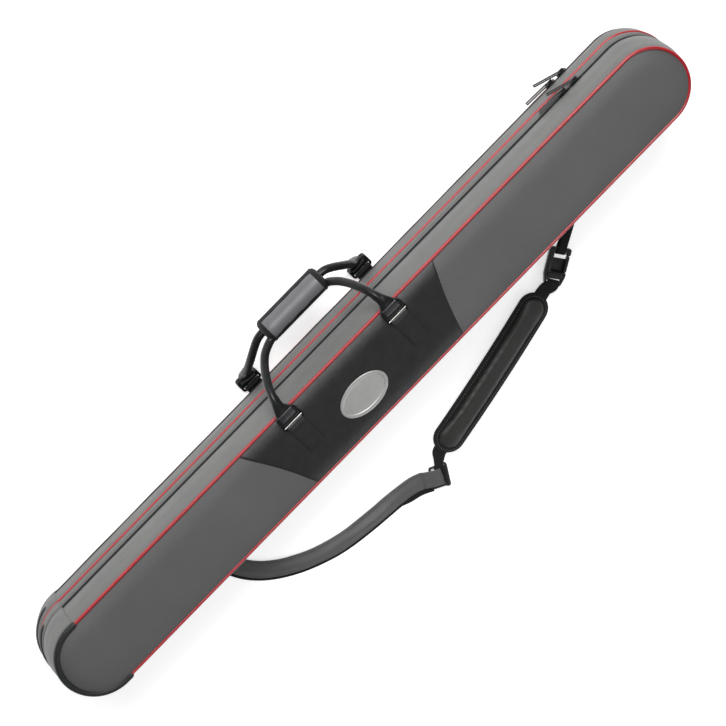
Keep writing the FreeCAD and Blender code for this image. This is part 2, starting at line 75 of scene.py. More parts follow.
camera = bpy.data.objects.new("camera", bpy.data.cameras.new("camera"))
bpy.context.scene.collection.objects.link(camera)
right = Vector(cameraValues["right"]).normalized()
up = Vector(cameraValues["up"]).normalized()
camera.matrix_world = Matrix((right, up, right.cross(up))).transposed().to_4x4()
camera.matrix_world.translation = cameraValues["place"]
camera.data.lens = cameraValues["lens"]
camera.data.clip_end = 60
bpy.context.scene.camera = camera
bpy.context.scene.view_settings.view_transform = "Standard"

for name, place, long, deep, watts in studio["softboxes"]:
    lamp = bpy.data.lights.new(name, "AREA")
    lamp.shape = "RECTANGLE"
    lamp.size = long
    lamp.size_y = deep
    lamp.energy = watts
    lampObject = bpy.data.objects.new(name, lamp)
    bpy.context.scene.collection.objects.link(lampObject)
    aim(lampObject, place, (0, 0, 0.1))
world = bpy.data.worlds.new("studio")
world.use_nodes = True
world.node_tree.nodes["Background"].inputs["Color"].default_value = (1, 1, 1, 1)
world.node_tree.nodes["Background"].inputs["Strength"].default_value = studio["world"]
bpy.context.scene.world = world


# Puts a node in a tree with its settings and its inputs, each a value or a socket to link.
def addNode(tree, kind, inputs=None, out=0, **settings):
    node = tree.nodes.new(kind)
    for key, value in settings.items():
        setattr(node, key, value)
    for key, value in (inputs or {}).items():
        if isinstance(value, bpy.types.NodeSocket):
            tree.links.new(value, node.inputs[key])
        else:
            node.inputs[key].default_value = value
    return node.outputs[out] if len(node.outputs) else node


def linear(hexColour):
    values = [int(hexColour[i:i + 2], 16) / 255 for i in (1, 3, 5)]
    return tuple(v / 12.92 if v <= 0.04045 else ((v + 0.055) / 1.055) ** 2.4 for v in values) + (1.0,)


def newFinish(name, colour, roughness, sockets=None):
    finish = bpy.data.materials.new(name)
    finish.use_nodes = True
    shader = finish.node_tree.nodes["Principled BSDF"]
    shader.inputs["Base Color"].default_value = linear(colour)
    shader.inputs["Roughness"].default_value = roughness
    for key, value in (sockets or {}).items():
        shader.inputs[key].default_value = value
    return finish, finish.node_tree, shader


# Coordinates in millimetres, from the piece's own surface map or from the object.
def millimetres(tree, onSurface):
    if onSurface:
        source = addNode(tree, "ShaderNodeUVMap", uv_map="surface")
    else:
        source = addNode(tree, "ShaderNodeTexCoord", out="Object")
    return addNode(tree, "ShaderNodeVectorMath", {0: source, "Scale": 1000.0}, operation="SCALE")


# Crossing threads: height of the cloth, and 1 where the lengthwise thread is on top.
def wovenThreads(tree, coords, thread, floats):
    cells = addNode(tree, "ShaderNodeVectorMath", {0: coords, "Scale": 1.0 / thread}, operation="SCALE")
    axes = addNode(tree, "ShaderNodeSeparateXYZ", {0: cells}).node
    crowns, cellIndex = [], []
    for axis in (0, 1):
        fraction = addNode(tree, "ShaderNodeMath", {0: axes.outputs[axis]}, operation="FRACT")
        centred = addNode(tree, "ShaderNodeMath", {0: fraction, 1: 2.0, 2: -1.0}, operation="MULTIPLY_ADD")
        square = addNode(tree, "ShaderNodeMath", {0: centred, 1: centred}, operation="MULTIPLY")
        crowns.append(addNode(tree, "ShaderNodeMath", {0: 1.0, 1: square}, operation="SUBTRACT"))
        cellIndex.append(addNode(tree, "ShaderNodeMath", {0: axes.outputs[axis]}, operation="FLOOR"))
    total = addNode(tree, "ShaderNodeMath", {0: cellIndex[0], 1: cellIndex[1]}, operation="ADD")
    phase = addNode(tree, "ShaderNodeMath", {0: total, 1: 2.0 * floats}, operation="FLOORED_MODULO")
    onTop = addNode(tree, "ShaderNodeMath", {0: phase, 1: floats - 0.5}, operation="LESS_THAN")
    height = addNode(tree, "ShaderNodeMix", {0: onTop, 2: crowns[0], 3: crowns[1]}, data_type="FLOAT")
    return height, onTop


def cloudy(tree, coords, size, detail=2.0):
    return addNode(tree, "ShaderNodeTexNoise", {"Vector": coords, "Scale": 1.0 / size, "Detail": detail})


def tint(tree, shader, factor, dark, light):
    colour = addNode(tree, "ShaderNodeMix", {0: factor, 6: linear(dark), 7: linear(light)}, 2, data_type="RGBA")
    tree.links.new(colour, shader.inputs["Base Color"])
    return colour


def relief(tree, shader, heights):
    normal = None
    for height, depth in heights:
        given = {"Height": height, "Distance": depth * mm}
        if normal is not None:
            given["Normal"] = normal
        normal = addNode(tree, "ShaderNodeBump", given)
    tree.links.new(normal, shader.inputs["Normal"])


def gloss(tree, shader, factor, low, high):
    value = addNode(tree, "ShaderNodeMapRange", {"Value": factor, "To Min": low, "To Max": high})
    tree.links.new(value, shader.inputs["Roughness"])


# Coated cloth: polyurethane film over a square weave. The film gives a satin surface on
# which the threads show as rows of small dots. Threads are 1.5 mm, twice the real ones,
# so that they show.
def coatedCloth(name, dark, light, onSurface=True, thread=1.5, depth=0.14, rough=0.42):
    finish, tree, shader = newFinish(name, light, 0.5, {"Specular IOR Level": 0.5})
    coords = millimetres(tree, onSurface)
    height, onTop = wovenThreads(tree, coords, thread, 1)
    blotch = cloudy(tree, coords, 120.0)
    softened = addNode(tree, "ShaderNodeMath", {0: blotch, 1: 0.5}, operation="MULTIPLY")
    mixed = addNode(tree, "ShaderNodeMath", {0: onTop, 1: 0.5, 2: softened}, operation="MULTIPLY_ADD")
    tint(tree, shader, mixed, dark, light)
    gloss(tree, shader, cloudy(tree, coords, 25.0), rough, rough + 0.16)
    relief(tree, shader, ((blotch, 0.6), (height, depth)))
    return finish


# Smooth coated cloth, black: fine pebble grain 0.8 mm, satin.
def smoothLeather(name, dark, light, roughness, grain, shine=0.3):
    finish, tree, shader = newFinish(name, dark, roughness, {"Specular IOR Level": shine})
    coords = millimetres(tree, False)
    cells = addNode(tree, "ShaderNodeTexVoronoi", {"Vector": coords, "Scale": 1.0 / grain})
    creases = cloudy(tree, coords, 14.0, 4.0)
    tint(tree, shader, creases, dark, light)
    gloss(tree, shader, creases, roughness - 0.08, roughness + 0.1)
    relief(tree, shader, ((creases, 0.5), (cells, 0.12)))
    return finish


# Nylon webbing: ribs across the strap every 2 mm, matt.
def webbingCloth(name, dark, light, rib, roughness=0.75, onSurface=True):
    finish, tree, shader = newFinish(name, dark, roughness, {"Sheen Weight": 0.05, "Sheen Roughness": 0.4,
                                                        "Specular IOR Level": 0.25})
    coords = millimetres(tree, onSurface)
    height, onTop = wovenThreads(tree, coords, rib, 1)
    fuzz = cloudy(tree, coords, 3.0)
    mixed = addNode(tree, "ShaderNodeMath", {0: height, 1: fuzz}, operation="MULTIPLY")
    tint(tree, shader, mixed, dark, light)
    relief(tree, shader, ((height, 0.35), (fuzz, 0.1)))
    return finish


# Moulded plastic or rubber: fine spark-eroded grain and soft flow marks.
def moulded(name, dark, light, roughness, grain, depth, sockets=None):
    finish, tree, shader = newFinish(name, dark, roughness, sockets)
    coords = millimetres(tree, False)
    spark = cloudy(tree, coords, grain, 3.0)
    flow = cloudy(tree, coords, 20.0)
    tint(tree, shader, flow, dark, light)
    gloss(tree, shader, flow, roughness - 0.06, roughness + 0.1)
    relief(tree, shader, ((spark, depth),))
    return finish


# Metal: brushed or plated, with streaks along X and faint scratches.
def metal(name, dark, light, roughness, streak, metallic=1.0):
    finish, tree, shader = newFinish(name, light, roughness, {"Metallic": metallic})
    coords = millimetres(tree, False)
    stretched = addNode(tree, "ShaderNodeMapping", {"Vector": coords, "Scale": (0.03, 1.0, 1.0)})
    lines = cloudy(tree, stretched, streak, 3.0)
    tint(tree, shader, lines, dark, light)
    gloss(tree, shader, lines, roughness - 0.08, roughness + 0.14)
    relief(tree, shader, ((lines, 0.03),))
    return finish


# Knitted or brushed lining and open foam: soft, no shine.
def softPile(name, dark, light, size, depth):
    finish, tree, shader = newFinish(name, dark, 0.9, {"Sheen Weight": 0.08, "Sheen Roughness": 0.5,
                                                    "Specular IOR Level": 0.25})
    coords = millimetres(tree, False)
    loops = addNode(tree, "ShaderNodeTexVoronoi", {"Vector": coords, "Scale": 1.0 / size})
    patchy = cloudy(tree, coords, 40.0)
    mixed = addNode(tree, "ShaderNodeMath", {0: loops, 1: 0.6, 2: patchy}, operation="MULTIPLY_ADD")
    tint(tree, shader, mixed, dark, light)
    relief(tree, shader, ((loops, depth),))
    return finish


finishes = {
    "greyCloth": coatedCloth("polyurethaneCoatedClothGrey", "#444444", "#5a5a5a", True, 1.5, 0.22, 0.38),
    # The walls' cloth is the face's grey cloth made lighter, for the light the sides catch from the low lamps:
    # painted light.
    "gussetClothPaintedLight": coatedCloth("polyurethaneCoatedClothGussetPaintedLight", "#4e4f4e", "#6a6b69"),
    "greyClothPlate": coatedCloth("polyurethaneCoatedClothGreyBack", "#4a4a4a", "#5c5c5c", False),
    "strapCloth": coatedCloth("polyurethaneCoatedStrapCloth", "#424242", "#5c5c5b", True, 1.5, 0.14, 0.36),
    "gripCloth": coatedCloth("carbonEmbossedGripCloth", "#4e4e50", "#69696c", True, 0.8, 0.04, 0.3),
    "blackCloth": smoothLeather("polyurethaneCoatedClothBlack", "#0f0f0f", "#151515", 0.38, 0.8, 0.5),
    "leather": smoothLeather("polyurethaneLeatherBlack", "#0b0c0d", "#121315", 0.3, 1.1, 0.32),
    # The keepers' leather is the handle leather made lighter, for the sheen on the raised keepers: painted sheen.
    # Its lower roughness is real.
    "keeperLeatherPaintedSheen": smoothLeather("polishedLeatherKeeperPaintedSheen", "#17181a", "#222326", 0.26, 1.1, 0.5),
    "redPiping": moulded("pvcCoveredPipingRed", "#8a0412", "#a0081a", 0.32, 0.8, 0.05,
                         {"Coat Weight": 0.25, "Coat Roughness": 0.12}),
    "rubber": moulded("softPvcEdgeGuard", "#171918", "#212322", 0.45, 0.7, 0.08, {"Specular IOR Level": 0.35}),
    "plastic": moulded("acetalMouldingBlack", "#0e0f10", "#161719", 0.33, 0.6, 0.04),
    "board": moulded("polyethyleneBoard", "#2c2c2d", "#38383a", 0.55, 1.5, 0.1),
    "webbing": webbingCloth("nylonWebbingBlack", "#0c0c0d", "#202022", 2.0),
    "zipTape": webbingCloth("polyesterZipTape", "#0a0a0b", "#18181a", 1.2),
    "zipTeeth": moulded("nylonCoilTeeth", "#0e0e10", "#18181b", 0.35, 0.5, 0.02, {"Specular IOR Level": 0.3}),
    "zipMetal": metal("blackEnamelledZinc", "#08080a", "#121214", 0.3, 0.5, 0.1),
    "ringMetal": metal("blackNickelSteelWire", "#18181a", "#2a2a2c", 0.25, 0.5),
    # Bright nickel for the tube over each front ring's inner bar: painted highlight on the dark ring.
    "ringBarHighlightMetal": metal("nickelBarPaintedHighlight", "#9a9894", "#c8c6c2", 0.25, 0.5),
    "badgeMetal": metal("brushedAluminium", "#b4b4b3", "#dededc", 0.4, 0.35),
    "padCloth": softPile("neopreneKnitBlack", "#121312", "#1e201e", 0.9, 0.12),
    "padFace": smoothLeather("neopreneSheetBlack", "#1c1d1c", "#262724", 0.44, 1.0, 0.5),
    "lining": softPile("tricotLiningGrey", "#2a2b2e", "#3c3e42", 1.2, 0.15),
    "foam": softPile("evaFoamBlack", "#1d1e1f", "#2c2d2f", 1.6, 0.2),
    "thread": webbingCloth("polyesterThreadBlack", "#1a1a1b", "#38383a", 0.4, 0.6, False),
    "paleThread": webbingCloth("polyesterThreadPale", "#5c5c5a", "#8a8a88", 0.4, 0.6, False),
    "greyThread": webbingCloth("polyesterThreadGrey", "#3c3c3c", "#6a6a6a", 0.4, 0.6, False),
}
print("finishes made:", len(finishes))


# A mesh from rows of points; rows and columns may close on themselves, and a tube's
# first and last rows may be capped. The surface map runs along the rows in real size.
def gridPiece(name, rows, finish, closedRows=False, closedColumns=False, caps=False, flatMap=False,
              weld=False, sharp=40.0):
    count, width = len(rows), len(rows[0])
    along, across = [0.0], [0.0]
    middle = width // 4
    for i in range(count):
        ahead = rows[(i + 1) % count]
        along.append(along[-1] + (Vector(ahead[middle]) - Vector(rows[i][middle])).length)
    reference = rows[count // 2]
    for j in range(width):
        across.append(across[-1] + (Vector(reference[(j + 1) % width]) - Vector(reference[j])).length)
    mesh = bmesh.new()
    surface = mesh.loops.layers.uv.new("surface")
    verts = [[mesh.verts.new(Vector(p) * mm) for p in row] for row in rows]
    for i in range(count if closedRows else count - 1):
        for j in range(width if closedColumns else width - 1):
            corners = ((i, j), (i + 1, j), (i + 1, j + 1), (i, j + 1))
            face = mesh.faces.new([verts[a % count][b % width] for a, b in corners])
            for loop, (a, b) in zip(face.loops, corners):
                if flatMap:
                    loop[surface].uv = loop.vert.co.xy
                else:
                    loop[surface].uv = (along[a] * mm, across[b] * mm)
    if caps:
        for row in (verts[0], verts[-1][::-1]):
            face = mesh.faces.new(row)
            for loop in face.loops:
                loop[surface].uv = loop.vert.co.xy
    if weld:
        bmesh.ops.remove_doubles(mesh, verts=mesh.verts[:], dist=1e-6)
    bmesh.ops.recalc_face_normals(mesh, faces=mesh.faces[:])
    return finished(name, mesh, finish, sharp)


def finished(name, mesh, finish, sharp=40.0):
    data = bpy.data.meshes.new(name)
    mesh.to_mesh(data)
    mesh.free()
    data.materials.append(finishes[finish])
    data.shade_smooth()
    data.set_sharp_from_angle(angle=math.radians(sharp))
    piece = bpy.data.objects.new(name, data)
    bpy.context.scene.collection.objects.link(piece)
    return piece


# Names what a piece rides on, and hides the parts it stands for.
def settle(piece, body, replaced=()):
    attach(piece, body)
    if replaced:
        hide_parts(*replaced)
    return piece


# Several meshes as one piece.
def gathered(name, pieces):
    mesh = bmesh.new()
    for piece in pieces:
        mesh.from_mesh(piece.data)
    data = bpy.data.meshes.new(name)
    mesh.to_mesh(data)
    mesh.free()
    data.materials.append(pieces[0].data.materials[0])
    for piece in pieces:
        bpy.data.objects.remove(piece)
    whole = bpy.data.objects.new(name, data)
    bpy.context.scene.collection.objects.link(whole)
    return whole


def applied(piece):
    evaluated = piece.evaluated_get(bpy.context.evaluated_depsgraph_get())
    data = bpy.data.meshes.new_from_object(evaluated)
    piece.modifiers.clear()
    piece.data = data
    return piece


# Where a position along the outline lies: the centre it turns about, and the way outwards.
def station(t):
    t = t % outlineRun
    x, radius = outline["capX"], outline["radius"]
    if t < sideRun:
        return (-x + t, 0.0), (0.0, 1.0)
    t -= sideRun
    if t < capRun:
        turn = math.pi / 2 - t / radius
        return (x, 0.0), (math.cos(turn), math.sin(turn))
    t -= capRun
    if t < sideRun:
        return (x - t, 0.0), (0.0, -1.0)
    turn = -math.pi / 2 - (t - sideRun) / radius
    return (-x, 0.0), (math.cos(turn), math.sin(turn))


def onOutline(t, radius, z):
    centre, outward = station(t)
    return (centre[0] + outward[0] * radius, outward[1] * radius, z)


# Positions between two ends, closer together round the caps, with extra ones where asked.
def stations(start, end, extra=()):
    joins = []
    for lap in (-1, 0, 1):
        for join in (0, sideRun, sideRun + capRun, 2 * sideRun + capRun):
            joins.append(join + lap * outlineRun)
    stops = sorted({start, end} | {t for t in list(joins) + list(extra) if start < t < end})
    found = []
    for low, high in zip(stops, stops[1:]):
        middle = ((low + high) / 2) % outlineRun
        onCap = sideRun < middle < sideRun + capRun or middle > 2 * sideRun + capRun
        pieces = max(1, round((high - low) / (outline["capStep"] if onCap else outline["sideStep"])))
        found += [low + (high - low) * i / pieces for i in range(pieces)]
    return found + [end]


def smooth(share):
    share = min(max(share, 0.0), 1.0)
    return share * share * (3 - 2 * share)


def wrinkle(a, b, size, seed):
    return noise.noise(Vector((a / size, b / size, seed)))


# Geometry Nodes trees that run tubes and rows of small bars along a path.
def treeWith(name, wanted):
    tree = bpy.data.node_groups.new(name, "GeometryNodeTree")
    tree.is_modifier = True
    for label, kind in wanted:
        tree.interface.new_socket(name=label, in_out="INPUT", socket_type="NodeSocket" + kind)
    tree.interface.new_socket(name="Geometry", in_out="OUTPUT", socket_type="NodeSocketGeometry")
    return tree, tree.nodes.new("NodeGroupInput").outputs


def endTree(tree, geometry, material):
    shaded = addNode(tree, "GeometryNodeSetShadeSmooth", {"Geometry": geometry})
    painted = addNode(tree, "GeometryNodeSetMaterial", {"Geometry": shaded, "Material": material})
    tree.links.new(painted, tree.nodes.new("NodeGroupOutput").inputs[0])


def makeTubeTree():
    tree, given = treeWith("tubeAlongPath", (("Geometry", "Geometry"), ("Tube Radius", "Float"),
                                             ("Sides", "Int"), ("Material", "Material")))
    path = addNode(tree, "GeometryNodeMeshToCurve", {"Mesh": given["Geometry"]})
    ring = addNode(tree, "GeometryNodeCurvePrimitiveCircle",
                   {"Resolution": given["Sides"], "Radius": given["Tube Radius"]})
    tube = addNode(tree, "GeometryNodeCurveToMesh", {"Curve": path, "Profile Curve": ring, "Fill Caps": True})
    endTree(tree, addNode(tree, "GeometryNodeRealizeInstances", {"Geometry": tube}), given["Material"])
    return tree


# Small rounded bars in a row: stitches, or the coil teeth of a zip, which stand across the path.
def makeRowTree():
    tree, given = treeWith("barsAlongPath", (("Geometry", "Geometry"), ("Spacing", "Float"), ("Bar Size", "Vector"),
                                             ("Wobble", "Float"), ("Seed", "Int"), ("Material", "Material")))
    path = addNode(tree, "GeometryNodeMeshToCurve", {"Mesh": given["Geometry"]})
    spaced = addNode(tree, "GeometryNodeResampleCurve", {"Curve": path, "Length": given["Spacing"]}, mode="LENGTH")
    heading = addNode(tree, "GeometryNodeInputTangent")
    turned = addNode(tree, "FunctionNodeAlignRotationToVector", {"Vector": heading}, axis="X")
    upright = addNode(tree, "FunctionNodeAlignRotationToVector", {"Rotation": turned, "Vector": (0, 0, 1)},
                      axis="Y", pivot_axis="X")
    backward = addNode(tree, "ShaderNodeMath", {0: given["Wobble"], 1: -1.0}, operation="MULTIPLY")
    low = addNode(tree, "ShaderNodeCombineXYZ", {0: backward, 1: backward, 2: backward})
    high = addNode(tree, "ShaderNodeCombineXYZ", {0: given["Wobble"], 1: given["Wobble"], 2: given["Wobble"]})
    shake = addNode(tree, "FunctionNodeRandomValue", {0: low, 1: high, "Seed": given["Seed"]},
                    data_type="FLOAT_VECTOR")
    loose = addNode(tree, "FunctionNodeRotateRotation",
                    {"Rotation": upright, "Rotate By": addNode(tree, "FunctionNodeEulerToRotation", {0: shake})},
                    rotation_space="LOCAL")
    bar = addNode(tree, "GeometryNodeMeshUVSphere", {"Segments": 6, "Rings": 4, "Radius": 0.5})
    rows = addNode(tree, "GeometryNodeInstanceOnPoints",
                   {"Points": spaced, "Instance": bar, "Rotation": loose, "Scale": given["Bar Size"]})
    endTree(tree, addNode(tree, "GeometryNodeRealizeInstances", {"Geometry": rows}), given["Material"])
    return tree


tubeTree = makeTubeTree()
rowTree = makeRowTree()


# Runs a tree along one or more paths and keeps the result as a plain mesh.
def alongPaths(name, tree, paths, values, closed=False):
    points, edges = [], []
    for path in paths:
        first = len(points)
        points += [Vector(p) * mm for p in path]
        edges += [(first + i, first + i + 1) for i in range(len(path) - 1)]
        if closed:
            edges.append((len(points) - 1, first))
    data = bpy.data.meshes.new(name)
    data.from_pydata(points, edges, [])
    piece = bpy.data.objects.new(name, data)
    bpy.context.scene.collection.objects.link(piece)
    modifier = piece.modifiers.new("path", "NODES")
    modifier.node_group = tree
    for item in tree.interface.items_tree:
        if item.in_out == "INPUT" and item.name in values:
            modifier[item.identifier] = values[item.name]
    return applied(piece)


def tubePiece(name, paths, radius, finish, sides=12, closed=False):
    return alongPaths(name, tubeTree, paths, {"Tube Radius": radius * mm, "Sides": sides,
                                              "Material": finishes[finish]}, closed)


stitch = {"spacing": 3.6, "size": (2.7, 0.8, 0.7), "wobble": 0.05}


def stitchPiece(name, paths, body, finish="thread", spacing=None, size=None, seed=7):
    size = size or stitch["size"]
    piece = alongPaths(name, rowTree, paths, {
        "Spacing": (spacing or stitch["spacing"]) * mm, "Bar Size": tuple(s * mm for s in size),
        "Wobble": stitch["wobble"], "Seed": seed, "Material": finishes[finish]})
    return settle(piece, body)


# Points on a smooth line through the given ones.
def smoothLine(points, perSpan=8):
    points = [Vector(p) for p in points]
    padded = [2 * points[0] - points[1]] + points + [2 * points[-1] - points[-2]]
    line = []
    for a, b, c, d in zip(padded, padded[1:], padded[2:], padded[3:]):
        for i in range(perSpan):
            s = i / perSpan
            line.append(0.5 * ((2 * b) + (c - a) * s + (2 * a - 5 * b + 4 * c - d) * s ** 2
                               + (3 * b - a - 3 * c + d) * s ** 3))
    return line + [points[-1]]


# Side and normal directions at each point: fixed side, fixed up, or carried along the path.
def framesAlong(path, side=None, upward=None, start=(0, 0, 1)):
    frames = []
    normal = Vector(start)
    for i, point in enumerate(path):
        tangent = (path[min(i + 1, len(path) - 1)] - path[max(i - 1, 0)]).normalized()
        if side is not None:
            across = Vector(side)
            normal = across.cross(tangent).normalized()
        else:
            across = tangent.cross(Vector(upward) if upward is not None else normal).normalized()
            normal = across.cross(tangent).normalized()
        frames.append((point, across, normal))
    return frames


def sweepRows(frames, sectionAt):
    rows = []
    for i, (point, across, normal) in enumerate(frames):
        rows.append([point + across * a + normal * b for a, b in sectionAt(i, i / (len(frames) - 1))])
    return rows


# Flat strip section with rounded edges.
def stripSection(width, thick, columns=8):
    half, deep = width / 2 - thick / 2, thick / 2
    top = [(-half + 2 * half * i / columns, deep) for i in range(columns + 1)]
    edge = [(half + deep * math.sin(math.radians(a)), deep * math.cos(math.radians(a))) for a in (45, 90, 135)]
    bottom = [(x, -deep) for x, _ in reversed(top)]
    other = [(-a, b) for a, b in reversed(edge)]
    return top + edge + bottom + other


def ovalSection(halfWidth, halfHeight, power, count):
    points = []
    for i in range(count):
        turn = 2 * math.pi * i / count
        c, s = math.cos(turn), math.sin(turn)
        points.append((halfWidth * math.copysign(abs(c) ** (2 / power), c),
                       halfHeight * math.copysign(abs(s) ** (2 / power), s)))
    return points


def sweepPiece(name, path, sectionAt, finish, side=None, upward=None, start=(0, 0, 1), shape=None, sharp=50.0):
    rows = sweepRows(framesAlong(path, side, upward, start), sectionAt)
    if shape:
        rows = [[shape(i, j, p) for j, p in enumerate(row)] for i, row in enumerate(rows)]
    return gridPiece(name, rows, finish, closedColumns=True, caps=True, sharp=sharp)


# Front face: height over the floor, how far and how wide its edge rolls down, and its crown.
face = {"edge": 59.8, "height": 162.3, "drop": 6.6, "roll": 24.0, "crown": 1.2, "wrinkle": 0.35}


def intoFace(x, y, edge):
    beyond = max(abs(x) - outline["capX"], 0.0)
    return edge - math.hypot(beyond, y)


def faceHeight(x, y):
    inside = intoFace(x, y, face["edge"])
    share = min(max(inside / face["roll"], 0.0), 1.0)
    zipSide = smooth(y / 60.0 + 0.5)   # the cloth is pulled down further on the zips' side
    rolled = face["height"] - face["drop"] * (0.55 + 0.45 * zipSide) * (1 - share) ** 2
    clearOfPanel = smooth((abs(x + 25) - 215) / 60)
    crown = face["crown"] * (1 - (y / face["edge"]) ** 2) * clearOfPanel
    return rolled + crown * share + face["wrinkle"] * share * clearOfPanel * wrinkle(x, y, 55.0, 3.1)


# A padded panel inside the outline: its top follows a height, its underside is flat.
def pillowPiece(name, edge, topAt, bottomZ, finish, insets):
    stops = stations(0, outlineRun)[:-1]
    rings = [edge - inset for inset in insets if inset < edge] + [0.0]
    rows = [[onOutline(t, radius, bottomZ) for t in stops] for radius in (0.0, edge)]
    for radius in rings:
        row = []
        for t in stops:
            x, y, _ = onOutline(t, radius, 0)
            row.append((x, y, topAt(x, y)))
        rows.append(row)
    return gridPiece(name, rows, finish, closedColumns=True, flatMap=True, weld=True)


edgeInsets = (0, 0.5, 1.2, 2.2, 3.5, 5, 7, 9.5, 12.5, 16, 20, 26, 33, 41, 50)
settle(pillowPiece("frontFace", face["edge"], faceHeight, 153.6, "greyCloth", edgeInsets),
       "front_lid", ("front_panel",))

centrePanel = {"lift": 0.95, "edge": 59.6, "hem": 4.0,
               "tipEnd": ((55.5, 178.0), (5.0, 155.5), (-55.5, 136.0)),
               "buttEnd": ((55.5, -227.0), (-5.0, -196.0), (-55.5, -177.0))}


# x of a bowed end at height y, through its three points.
def bowedEnd(points, y):
    (ya, xa), (yb, xb), (yc, xc) = points
    return (xa * (y - yb) * (y - yc) / ((ya - yb) * (ya - yc)) + xb * (y - ya) * (y - yc) / ((yb - ya) * (yb - yc))
            + xc * (y - ya) * (y - yb) / ((yc - ya) * (yc - yb)))


def panelTop(x, y, toEnd):
    return faceHeight(x, y) + centrePanel["lift"] * (1 - (1 - min(toEnd / centrePanel["hem"], 1.0)) ** 2) + 0.1


def makeCentrePanel():
    edge = centrePanel["edge"]
    crossings = [-edge + inset for inset in (0, 0.6, 1.5, 3, 5, 8, 12, 17, 24, 32, 42, 52)]
    crossings += [0.0] + [-y for y in reversed(crossings)]
    edgeSteps = (0, 0.7, 1.6, 2.8, 4.2, 7)
    rows = []
    for y in crossings:
        low, high = bowedEnd(centrePanel["buttEnd"], y), bowedEnd(centrePanel["tipEnd"], y)
        step = [low + c for c in edgeSteps]
        step += [low + 7 + (high - low - 14) * i / 40 for i in range(1, 40)]
        step += [high - c for c in reversed(edgeSteps)]
        top = [(x, y, panelTop(x, y, min(x - low, high - x))) for x in step]
        bottom = [(x, y, faceHeight(x, y) - 0.8) for x in reversed(step)]
        rows.append(top + bottom)
    return gridPiece("centrePanel", rows, "blackCloth", closedColumns=True, caps=True, flatMap=True)


settle(makeCentrePanel(), "front_lid", ("centre_panel",))
panelSeams = []
for points, shift in ((centrePanel["tipEnd"], -3.2), (centrePanel["buttEnd"], 3.2)):
    seam = []
    for i in range(31):
        y = -54.0 + 3.6 * i
        x = bowedEnd(points, y) + shift
        seam.append((x, y, panelTop(x, y, 3.2) + 0.12))
    panelSeams.append(seam)
stitchPiece("centrePanelStitches", panelSeams, "front_lid")
print("front face made")

# Padded walls, with the butt end's cloth lapped over the long run.
wall = {"thick": 3.0, "tuck": 1.6, "lap": 1.6, "wrinkle": 1.0, "fold": 1.3}


# Each wall's lower and upper edge as (radius, z), the room left there for a zip's half, its bulge and its
# noise seed. Room is given as (where the cloth is sewn shut, where the zip runs).
wallShapes = {
    "frontGusset": ((67.0, 92.0), (62.5, 157.0), (0.2, 4.0), (2.6, 2.6), 3.4, 1.3),
    "middleFrontWall": ((67.3, 72.5), (67.0, 92.0), (-0.4, -0.4), (0.2, 4.0), 1.5, 5.7),
    "middleRearWall": ((64.0, 30.0), (67.3, 70.0), (0.2, 3.7), (2.1, 2.1), 2.4, 8.1),
    "backGusset": ((51.5, 5.0), (64.0, 30.0), (2.6, 2.6), (0.2, 3.7), 1.5, 11.9)}


# Where a wall's cloth lies at one place along the outline: its lowest and highest z,
# and a function that gives the radius at any z between.
def wallAt(name, t):
    low, high, roomLow, roomHigh, bulge, seed = wallShapes[name]
    zipped = smooth((t - zipStart + 0.6) / 1.2) * smooth((zipEnd - t) / 3.0)
    lowZ = low[1] + roomLow[0] + (roomLow[1] - roomLow[0]) * zipped
    highZ = high[1] - roomHigh[0] - (roomHigh[1] - roomHigh[0]) * zipped
    lapped = wall["lap"] * (1 - smooth((t - zipStart + 0.6) / 1.2) * smooth((buttLap + 0.6 - t) / 1.2))

    def radiusAt(z):
        arch = math.sin(math.pi * (z - lowZ) / (highZ - lowZ))
        radius = low[0] + (high[0] - low[0]) * (z - low[1]) / (high[1] - low[1])
        radius += bulge * arch ** 0.6 + lapped * min(1.0, 4 * arch) - wall["tuck"] * (1 - min(1, 5 * arch)) * 0.5
        radius += wall["wrinkle"] * arch * wrinkle(t * 0.5, z * 1.8, 34.0, seed)
        return radius + wall["fold"] * arch * wrinkle(t * 0.08, z * 2.0, 26.0, seed + 40)   # long shallow folds

    return lowZ, highZ, radiusAt


def makeWall(name):
    bulge, heights = wallShapes[name][4], 16
    stops = stations(0, outlineRun, (zipStart - 0.6, zipStart, zipStart + 0.6, zipEnd - 3, buttLap - 0.6,
                                     buttLap, buttLap + 0.6))[:-1]
    rows = []
    for t in stops:
        lowZ, highZ, radiusAt = wallAt(name, t)
        outer, inner = [], []
        for k in range(heights + 1):
            z = lowZ + (highZ - lowZ) * min(max(k / heights, 1e-4), 1 - 1e-4)
            outer.append(onOutline(t, radiusAt(z), z))
            inner.append(onOutline(t, radiusAt(z) - wall["thick"] - bulge * math.sin(math.pi * k / heights), z))
        rows.append(outer + inner[::2][::-1])
    # the walls take the lighter copy of the grey cloth, painted light on the sides
    return gridPiece(name, rows, "gussetClothPaintedLight", closedRows=True, closedColumns=True)


for name, body, node in (("frontGusset", "front_lid", "front_gusset"),
                         ("middleFrontWall", "middle", "middle_front_wall"),
                         ("middleRearWall", "middle", "middle_rear_wall"),
                         ("backGusset", "rear_shell", "back_gusset")):
    settle(makeWall(name), body, (node + "_sides", node + "_ends"))

# Lining sewn across each fold on the strap side, so that an open lid shows no gap.
hingeFold = {"half": 7.0, "thick": 0.8, "reach": 585.0, "turn": 2.0}


def makeHingeFold(name, y, z):
    half, reach = hingeFold["half"], hingeFold["reach"]
    rows = []
    for i in range(41):
        x = -reach + 2 * reach * i / 40
        outer = [(x, y - hingeFold["thick"], z - half + half * k / 7) for k in range(15)]
        rows.append(outer + [(x, y, high) for _, _, high in reversed(outer)])
    piece = gridPiece(name, rows, "lining", closedColumns=True, caps=True)
    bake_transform(piece)


makeHingeFold("frontHingeFold", -62.0, 92.0)
makeHingeFold("rearHingeFold", -59.0, 30.0)


def outlinePath(start, end, radius, z):
    return [onOutline(t, radius, z) for t in stations(start, end)]


